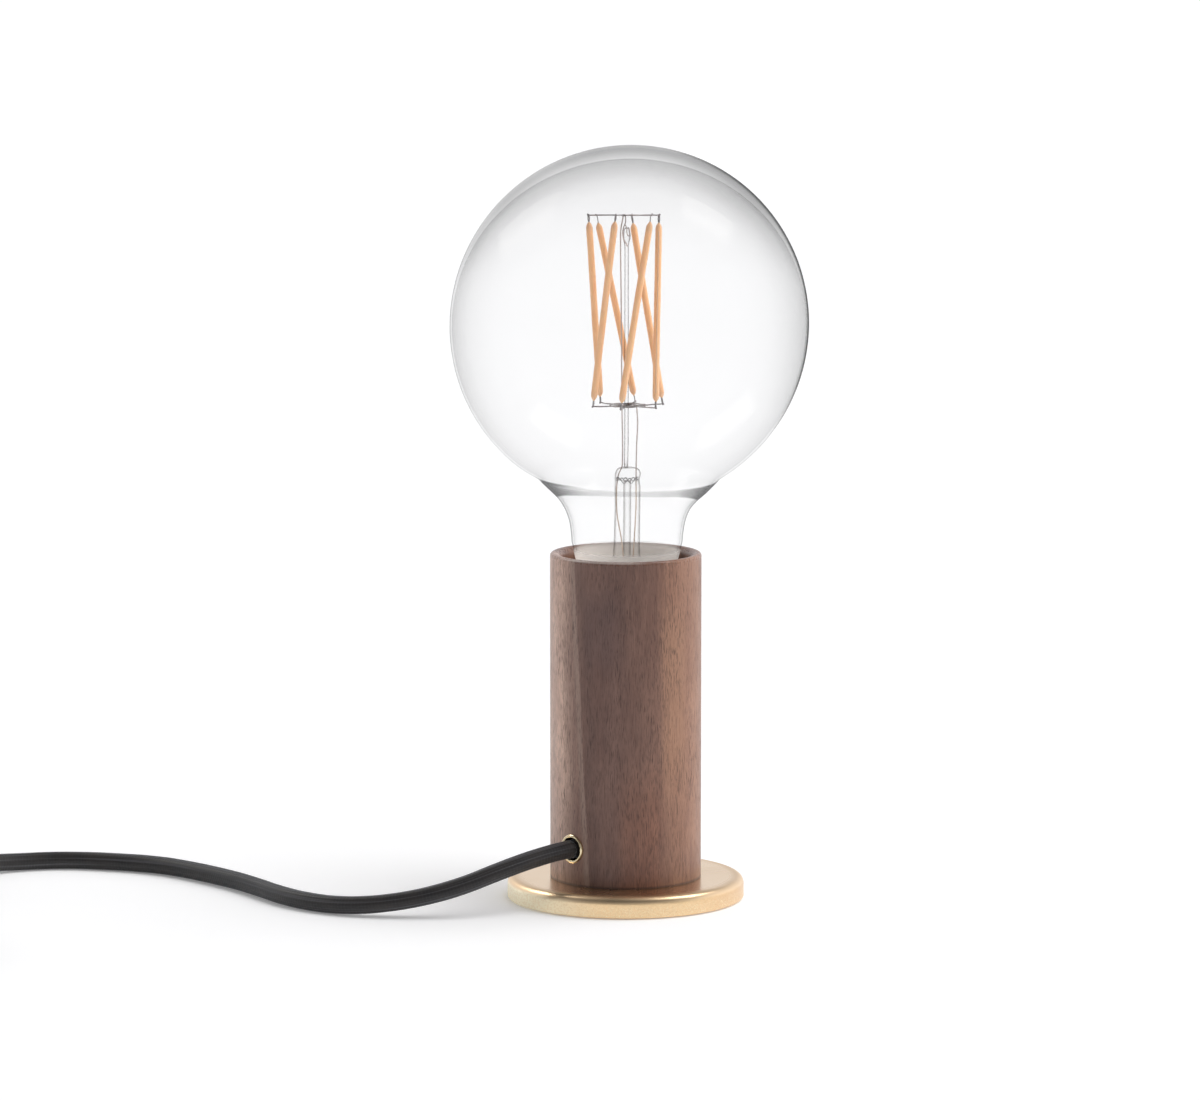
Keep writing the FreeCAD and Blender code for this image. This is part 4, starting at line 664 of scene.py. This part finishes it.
# the twisted seam where the tube was pinched shut
stem = mesh_piece("stem", v, f, stem_clear, "bulb", ("glass_stem",))
v, f = [], []
for turn_, droop_ in ((0.0, 0.3), (3.0, 0.5), (4.6, 1.3)):
    seam = [seen(-3.4 + 7.7 * i / 36, -0.8 + 0.5 * math.cos(i * 0.5 + turn_), 148.5 + 0.62 * math.sin(i * 0.5 + turn_) - droop_ * math.sin(math.pi * i / 36)) * MM for i in range(37)]
    wire(v, f, hermite(seam, 2), lambda t, o=turn_: (0.15 + 0.06 * math.sin(t * 17.0 + o)) * MM, 8)
mesh_piece("stem_seam", v, f, seam_grey, "bulb", ())


def tube_lean(z):
    d = 0.5 * max(0.0, min(1.0, (z - 104.0) / 26.0))
    return d * 0.70711, -d * 0.70711


v, f = lathe([(0.0, 100.5), (1.38, 100.5), (1.38, 121.0), (1.34, 136.0), (1.36, 145.6), (1.3, 147.9), (0.0, 148.0)], 32, lean=tube_lean)
mesh_piece("exhaust", v, f, tube_clear, "bulb", ("exhaust_tube",))

sup = hermite([(0.74, 152.2, 0), (0.73, 175.0, 0), (0.74, 205.0, 0), (0.73, 228.6, 0), (0.86, 230.6, 0), (1.25, 232.2, 0), (1.34, 234.0, 0), (1.05, 235.6, 0), (0.5, 236.2, 0)], 5)
v, f = lathe([(0.0, 152.15)] + [(p.x, p.y) for p in sup] + [(0.0, 236.3)], 28, lean=lambda z: (0.16 * min(1.0, (z - 150.0) / 12.0), -0.16 * min(1.0, (z - 150.0) / 12.0)))
mesh_piece("support", v, f, rod_clear, "bulb", ("support_rod",))

# ---------------------------------------------------------------- filament cage
CR, ZT, ZB = 12.85, 240.5, 174.2
SHIFT_T, SHIFT_B = -0.75, 0.73


def top_at(theta, r=CR, dz=0.0):
    a = math.radians(theta)
    y = r * math.sin(a)
    return seen(r * math.cos(a) + SHIFT_T, y, ZT + dz - 0.075 * y) * MM


def low_at(theta, r=CR, dz=0.0):
    a = math.radians(theta)
    return seen(r * math.cos(a) + SHIFT_B, r * math.sin(a), ZB + dz) * MM


BASE_T, BASE_B = 17.6, -41.4
rv, rf, pv, pf, tv, tf, bv, bf, sv, sf = [], [], [], [], [], [], [], [], [], []
for k in range(6):
    p, q = top_at(BASE_T + 60 * k), low_at(BASE_B + 60 * k)
    u = (q - p).normalized()
    L = (q - p).length
    a, b = (2.46 + 0.33 * math.sin(math.radians(BASE_T + 60 * k))) * MM, L - 2.1 * MM
    side = u.cross(Vector((0, 0, 1))).normalized()
    other = u.cross(side)
    path, rad = [], []
    steps = 130
    ph = random.random() * 6.28
    for i in range(steps + 1):
        t = i / steps
        t = t + 0.06 * math.sin(2 * math.pi * t) * -1.0 if 0 < i < steps else t
        d = a + (b - a) * t
        end = min(d - a, b - d)
        bow = math.sin(math.pi * t)
        path.append(p + u * d + (side * math.sin(ph) + other * math.cos(ph)) * (0.12 * MM * bow) + side * (0.04 * MM * math.sin(7 * t + ph)))
        e = min(1.0, end / (2.45 * MM))
        rr = 1.16 * (1 - (1 - e) ** 2.2) ** 0.75 if e < 1 else 1.16
        rr = max(rr, 0.30)
        rr *= 1 + 0.012 * math.sin(23 * t + ph * 2)
        rad.append(rr * MM)
    wire(rv, rf, path, lambda t, R_=rad: R_[min(len(R_) - 1, int(round(t * (len(R_) - 1))))], 24)
    if k in (0, 5):
        # the carrier strip that shows pale through the coating of two of them
        front = seen(0, -1, 0)
        front = (front - u * front.dot(u)).normalized()
        wire(sv, sf, [x + front * 0.98 * MM for x in path[10:-10]], (0.26 if k == 0 else 0.16) * MM, 8)
    # wire ends from the rods to the stars
    tip, foot = path[0], path[-1]
    if k in (2, 5):
        lean_ = side * (0.5 * MM)
        wire(pv, pf, hermite([p + lean_ * 0.4, p.lerp(tip, 0.35) + lean_, p.lerp(tip, 0.75) + lean_ * 0.5, tip + u * 0.5 * MM], 5), 0.17 * MM, 8)
    else:
        gap_ = side * (0.26 * MM)
        wire(pv, pf, hermite([p + gap_ * 0.3, p.lerp(tip, 0.5) + gap_, tip + u * 0.6 * MM], 5), 0.2 * MM, 8)
        wire(pv, pf, hermite([p - gap_ * 0.3, p.lerp(tip, 0.5) - gap_, tip + u * 0.6 * MM], 5), 0.2 * MM, 8)
        ball(pv, pf, p, 0.5 * MM, 10, 6)
    wire(pv, pf, hermite([q, q.lerp(foot, 0.5) + side * 0.06 * MM, foot - u * 0.6 * MM], 5), (0.2 if k == 2 else 0.34) * MM, 10)
    ball(pv, pf, q, 0.42 * MM, 10, 6)


def star(verts, faces, place, base, hub_out, hub_in, droop, top):
    """Six slightly bent wires from a collar to the pins, each with its end turned over the pin."""
    mid = place(0.0, 0.0)
    for k in range(6):
        th = base + 60 * k
        d = place(th)
        out = (d - mid).normalized()
        tang = Vector((-out.y, out.x, 0))
        hub = mid + out * (hub_out * 0.8 * MM)
        bend = random.random() - 0.5
        mid1 = hub.lerp(d, 0.35) + Vector((0, 0, droop * MM * (0.5 + bend * 0.5))) + tang * 0.3 * bend * MM
        mid2 = hub.lerp(d, 0.72) + Vector((0, 0, droop * MM * (0.3 - bend * 0.6))) - tang * 0.3 * bend * MM
        tip = d + out * 0.42 * MM + Vector((0, 0, (0.35 + 0.3 * random.random()) * MM * (1 if top else -0.6)))
        wire(verts, faces, hermite([hub, mid1, mid2, d - out * 0.3 * MM, d + out * 0.16 * MM, tip], 5), 0.23 * MM, 8)
    prof = [(hub_in, -0.3), (hub_out, -0.33), (hub_out + 0.08, 0.0), (hub_out, 0.33), (hub_in, 0.3)]
    if hub_in > 0:
        v, f = lathe(prof, 28, closed=True)
    else:
        v, f = lathe([(0.0, -0.3)] + prof[1:-1] + [(0.0, 0.3)], 20)
    o = len(verts)
    verts.extend(x + mid for x in v)
    faces.extend(tuple(i + o for i in q) for q in f)


star(tv, tf, top_at, BASE_T, 0.62, 0.0, 0.12, True)
star(bv, bf, low_at, BASE_B, 2.8, 2.25, -0.3, False)
ring = [low_at(12.0 * i, 6.3, 0.1 * math.sin(i * 1.3)) for i in range(31)]
wire(bv, bf, ring, 0.2 * MM, 8, caps=False)
mesh_piece("filaments", rv, rf, filament, "bulb", ("filament_rods",))
mesh_piece("filament_carriers", sv, sf, carrier, "bulb", ())
mesh_piece("filament_ends", pv, pf, nickel_wire, "bulb", ("filament_pins",))
mesh_piece("star_top", tv, tf, nickel_wire, "bulb", ("top_star",))
mesh_piece("star_bottom", bv, bf, nickel_wire, "bulb", ("bottom_star",))
hv, hf = [], []
wire(hv, hf, [x * MM for x in hermite([seen(-0.6, -0.2, 240.9), seen(-0.15, -0.4, 239.8), seen(-0.2, -0.8, 238.0), seen(-0.87, -1.3, 236.2), seen(-1.1, -1.6, 234.4), seen(-0.8, -1.6, 232.3), seen(0.0, -1.3, 230.9), seen(0.6, -0.9, 229.7)], 6)], 0.2 * MM, 8)
wire(hv, hf, [x * MM for x in hermite([seen(0.9, -1.1, 236.4), seen(1.35, -1.0, 234.8), seen(1.0, -1.4, 233.4), seen(0.3, -1.6, 234.6), seen(0.3, -1.4, 236.0), seen(-0.3, -0.9, 237.4)], 6)], 0.16 * MM, 8)
mesh_piece("hook", hv, hf, lead_wire, "bulb", ("top_hook",))
lv, lf = [], []
for pts in ([(2.33, 2.33, 97.6), (2.4, 2.0, 112.0), (2.55, 0.9, 119.6), (3.0, 0.4, 127.7), (3.55, 0.1, 138.2), (3.58, 0.0, 145.6), (3.6, 0.0, 152.2), (3.75, 0.0, 160.0), (4.1, 0.0, 168.1), (3.75, 0.0, ZB)],
            [(-2.33, -2.33, 97.6), (-2.2, -2.1, 112.0), (-0.9, -2.3, 119.6), (-1.4, -2.2, 126.4), (-3.1, -1.2, 136.6), (-3.2, -0.4, 145.6), (-2.5, -0.2, 150.0), (-1.25, 0.0, 153.2), (-1.42, 0.0, 176.5),
             (-1.6, 0.0, 205.0), (-1.9, 0.0, 231.0), (-1.75, 0.0, 236.0), (-1.25, 0.0, 238.6), (-0.95, 0.0, 240.4)]):
    wire(lv, lf, [p * MM for p in hermite([seen(*p) for p in pts], 6)], 0.23 * MM, 10)
mesh_piece("lead_in", lv, lf, lead_wire, "bulb", ("lead_wires",))

for name in ("globe", "stem", "exhaust", "support"):
    bpy.data.objects[name].visible_shadow = False
node["neck_seal"].visible_shadow = False

# ---------------------------------------------------------------- free lead
ROUTE_A = [(-27.1, 0.0, 20.5), (-36.1, 0.0, 20.5), (-53.5, 4.5, 16.9), (-69.7, 13.7, 10.3), (-83.0, 28.7, 5.3),
           (-94.1, 45.9, 3.2), (-97.5, 68.0, 3.2), (-90.6, 97.5, 3.2), (-88.9, 120.4, 3.2), (-89.7, 143.7, 3.2),
           (-97.9, 162.3, 3.2), (-109.4, 179.1, 3.2), (-130.1, 189.5, 3.4), (-150.6, 187.4, 6.2), (-168.57, 182.25, 6.5)]
ROUTE_B = [(-216.63, 168.46, 6.5), (-229.8, 164.7, 6.2), (-246.8, 160.9, 3.4)]
ROUTE_C = [(-300.0, 108.5, 9.5), (-303.8, 95.5, 8.8), (-310.7, 83.8, 7.9), (-317.6, 73.4, 7.15), (-320.0, 62.6, 6.85), (-320.0, 57.0, 6.85)]


def step(t, a, b):
    k = max(0.0, min(1.0, (t - a) / (b - a)))
    return k * k * (3 - 2 * k)


coil = []
TURNS = 6 + 83.0 / 360.0
COUNT = 98
for i in range(COUNT + 1):
    t = TURNS * i / COUNT
    ang = math.radians(97.0 + 360.0 * t)
    r = 41.4 - 6.4 * (step(t, 0.93, 1.09) + step(t, 1.93, 2.09)) + 6.4 * (step(t, 3.95, 4.11) + step(t, 4.95, 5.11))
    z = 3.2 + 6.4 * step(t, 2.82, 2.99)
    r = r / 0.985
    coil.append((-258.0 + r * math.cos(ang), 118.0 + r * math.sin(ang), z))


def nurbs_path(name, pts, fine=14):
    """The smooth line that a lead follows: one open spline with the route as its control points."""
    cu = bpy.data.curves.new(name, "CURVE")
    cu.dimensions = "3D"
    sp = cu.splines.new("NURBS")
    sp.points.add(len(pts) - 1)
    for q, p in zip(sp.points, pts):
        q.co = (p[0] * MM, p[1] * MM, p[2] * MM, 1)
    sp.order_u = 3
    sp.use_endpoint_u = True
    sp.resolution_u = fine
    ob = bpy.data.objects.new(name, cu)
    bpy.context.scene.collection.objects.link(ob)
    bpy.context.view_layer.update()
    me = bpy.data.meshes.new_from_object(ob)
    path = [v.co.copy() for v in me.vertices]
    bpy.data.objects.remove(ob)
    bpy.data.curves.remove(cu)
    bpy.data.meshes.remove(me)
    return path


def even(path, gap):
    """The same line with its points a set distance apart."""
    d = [0.0]
    for a, b in zip(path[:-1], path[1:]):
        d.append(d[-1] + (b - a).length)
    n = max(4, int(round(d[-1] / gap)))
    out, j = [], 0
    for i in range(n + 1):
        s = d[-1] * i / n
        while j < len(d) - 2 and d[j + 1] < s:
            j += 1
        k = (s - d[j]) / max(1e-9, d[j + 1] - d[j])
        out.append(path[j].lerp(path[j + 1], k))
    return out, d[-1]


RAD, SEG = 3.2, 36
# shallow folds that run along the sleeve, at set places round it
FOLDS = [(math.radians(a), w, dpt) for a, w, dpt in ((26, 0.17, 0.30), (-8, 0.17, 0.26), (62, 0.15, 0.16), (96, 0.2, 0.22), (158, 0.18, 0.24), (205, 0.18, 0.26), (268, 0.2, 0.14), (-50, 0.2, 0.16))]


def lead(name, pts, replaces, flip=1.0):
    fine = nurbs_path(name + "_line", pts)
    path, total = even(fine, 0.9 * MM)
    fr = frames(path)
    verts, faces, uvs = [], [], []
    along = [0.0]
    for a, b in zip(path[:-1], path[1:]):
        along.append(along[-1] + (b - a).length)
    for i, (p, (t, s, w)) in enumerate(zip(path, fr)):
        for k in range(SEG):
            a = 2 * math.pi * k / SEG
            r = RAD
            for fa, fw, fd in FOLDS:
                wob = 0.10 * math.sin(along[i] * 38.0 + fa * 5) + 0.05 * math.sin(along[i] * 97.0 + fa)
                d = (a - fa - wob + math.pi) % (2 * math.pi) - math.pi
                r -= fd * math.exp(-(d / fw) ** 2)
            r += 0.035 * noise.noise(Vector((along[i] * 160.0, math.cos(a) * 1.2, math.sin(a) * 1.2)))
            q = p + (s * math.cos(a) + w * math.sin(a)) * (r * MM)
            q.z = max(q.z, 0.00002)
            verts.append(q)
    n = len(path)
    for i in range(n - 1):
        for k in range(SEG):
            m = (k + 1) % SEG
            faces.append((i * SEG + k, i * SEG + m, (i + 1) * SEG + m, (i + 1) * SEG + k))
            u0, u1 = k / SEG, (k + 1) / SEG
            v0, v1 = along[i] / MM, along[i + 1] / MM
            uvs += [(u0, v0), (u1, v0), (u1, v1), (u0, v1)]
    for end, ring in ((0, 0), (n - 1, (n - 1) * SEG)):
        c = len(verts)
        verts.append(path[end].copy())
        for k in range(SEG):
            m = (k + 1) % SEG
            faces.append((c, ring + m, ring + k) if end == 0 else (c, ring + k, ring + m))
            uvs += [(0, along[end] / MM)] * 3
    ob = mesh_piece(name, verts, faces, braid, "lamp", replaces, uvs=uvs)
    return ob, total


lead_a, len_a = lead("lead_to_switch", ROUTE_A,
                     ("cord_from_lamp",))
lead_b, len_b = lead("lead_to_plug", ROUTE_B + coil + ROUTE_C,
                     ("cord_to_coil", "cord_coil", "cord_to_plug"))
print("lead lengths", round(len_a, 4), round(len_b, 4))

# ---------------------------------------------------------------- studio
floor_s = Shader("floor_white", (0.93, 0.93, 0.93), 0.9, Specular_IOR_Level=0.0)
floor_s.p.inputs["Emission Color"].default_value = (1, 1, 1, 1)
floor_s.p.inputs["Emission Strength"].default_value = 0.17
v, f = [], []
segs = 96
for rr in (0.0, 0.6, 2.0, 8.0, 40.0):
    if rr == 0:
        v.append(Vector((0, 0, 0)))
    else:
        for k in range(segs):
            a = 2 * math.pi * k / segs
            v.append(Vector((rr * math.cos(a), rr * math.sin(a), 0)))
for k in range(segs):
    m = (k + 1) % segs
    f.append((0, 1 + k, 1 + m))
    for ring in range(3):
        o = 1 + ring * segs
        f.append((o + k, o + segs + k, o + segs + m, o + m))
me = bpy.data.meshes.new("floor")
me.from_pydata(v, [], f)
me.materials.append(floor_s.m)
floor = bpy.data.objects.new("floor", me)
bpy.context.scene.collection.objects.link(floor)
floor.location.z = -0.00005

SQ = math.sqrt(0.5)


def room(x, y, z):
    """A place given as right of, away from and above the lamp, seen from the camera's side."""
    return Vector(((x + y) * SQ, (y - x) * SQ, z))


def softbox(name, place, target, size, watts, color=(1, 1, 1), sizey=None):
    li = bpy.data.lights.new(name, "AREA")
    li.shape = "RECTANGLE"
    li.size = size
    li.size_y = sizey or size
    li.energy = watts
    li.color = color
    ob = bpy.data.objects.new(name, li)
    bpy.context.scene.collection.objects.link(ob)
    ob.location = place
    ob.rotation_mode = "QUATERNION"
    ob.rotation_quaternion = (target - place).to_track_quat("-Z", "Y")
    return ob


left_box = softbox("box_left", room(-0.95, 0.50, 1.10), Vector((0, 0, 0.1)), 0.5, 7.0, (1.0, 0.97, 0.93), 0.7)
right_box = softbox("box_right", room(0.80, 0.15, 1.30), Vector((0, 0, 0.1)), 0.45, 7.0, (1.0, 0.97, 0.93), 0.6)

for o in (left_box, right_box):
    o.visible_diffuse = False

sun = bpy.data.lights.new("overhead", "SUN")
sun.energy = 2.3
sun.angle = math.radians(60)
sun_o = bpy.data.objects.new("overhead", sun)
bpy.context.scene.collection.objects.link(sun_o)
sun_o.rotation_mode = "QUATERNION"
sun_o.rotation_quaternion = (Vector((0, 0, 0)) - room(0.55, -0.05, 0.83)).to_track_quat("-Z", "Y")
sun_o.visible_glossy = False
sun_o.visible_transmission = False

world = bpy.data.worlds.new("studio")
bpy.context.scene.world = world
world.use_nodes = True
wt = world.node_tree
wt.nodes.clear()
w_out = wt.nodes.new("ShaderNodeOutputWorld")
w_bg = wt.nodes.new("ShaderNodeBackground")
w_co = wt.nodes.new("ShaderNodeTexCoord")
w_xyz = wt.nodes.new("ShaderNodeSeparateXYZ")
wt.links.new(w_co.outputs["Generated"], w_xyz.inputs[0])


def sky(kind, **props):
    n = wt.nodes.new(kind)
    for k, v in props.items():
        setattr(n, k, v)
    return n


def sky_ramp(value, stops):
    r = sky("ShaderNodeValToRGB")
    e = r.color_ramp.elements
    while len(e) < len(stops):
        e.new(0.5)
    for el, (pos, c) in zip(e, stops):
        el.position = pos
        el.color = (c, c, c * 1.01, 1)
    wt.links.new(value, r.inputs[0])
    return r.outputs[0]


def sky_math(op, a, b):
    n = sky("ShaderNodeMath", operation=op)
    for i, v in enumerate((a, b)):
        if isinstance(v, (int, float)):
            n.inputs[i].default_value = v
        else:
            wt.links.new(v, n.inputs[i])
    return n.outputs[0]


# a white sweep all round, open and dark overhead and on the near side
height = sky_ramp(w_xyz.outputs[2], [(0.0, 1.0), (0.38, 0.95), (0.52, 0.70), (0.66, 0.22), (1.0, 0.14)])
away = sky_math("MULTIPLY", sky_math("ADD", w_xyz.outputs[0], w_xyz.outputs[1]), 0.35355)
around = sky_ramp(sky_math("ADD", away, 0.5), [(0.0, 0.34), (0.22, 0.42), (0.46, 0.88), (0.62, 1.0), (1.0, 1.0)])
across = sky_math("MULTIPLY", sky_math("SUBTRACT", w_xyz.outputs[0], w_xyz.outputs[1]), 0.35355)
right = sky_ramp(sky_math("ADD", across, 0.5), [(0.0, 0.70), (0.5, 0.72), (0.8, 0.92), (1.0, 1.0)])
both_ = sky("ShaderNodeMix", data_type="RGBA", blend_type="MULTIPLY")
both_.inputs[0].default_value = 1.0
wt.links.new(height, both_.inputs[6])
wt.links.new(around, both_.inputs[7])
all_ = sky("ShaderNodeMix", data_type="RGBA", blend_type="MULTIPLY")
all_.inputs[0].default_value = 1.0
wt.links.new(both_.outputs[2], all_.inputs[6])
wt.links.new(right, all_.inputs[7])
wt.links.new(all_.outputs[2], w_bg.inputs[0])
w_bg.inputs[1].default_value = 1.30
wt.links.new(w_bg.outputs[0], w_out.inputs[0])

# ---------------------------------------------------------------- camera
cam = bpy.data.cameras.new("camera")
cam.sensor_width = 36.0
cam.lens = 164.48
cam.clip_start = 0.05
cam.clip_end = 200.0
cam_o = bpy.data.objects.new("camera", cam)
bpy.context.scene.collection.objects.link(cam_o)
cam_o.location = (-1.3435, -1.3435, 0.3873)
head, pitch = math.radians(45.272), math.radians(7.912)
look = Vector((math.cos(pitch) * math.cos(head), math.cos(pitch) * math.sin(head), -math.sin(pitch)))
cam_o.rotation_mode = "QUATERNION"
cam_o.rotation_quaternion = look.to_track_quat("-Z", "Y")
bpy.context.scene.camera = cam_o

vs = bpy.context.scene.view_settings
vs.view_transform = "Standard"
vs.look = "None"
vs.exposure = 0.0
vs.gamma = 1.0
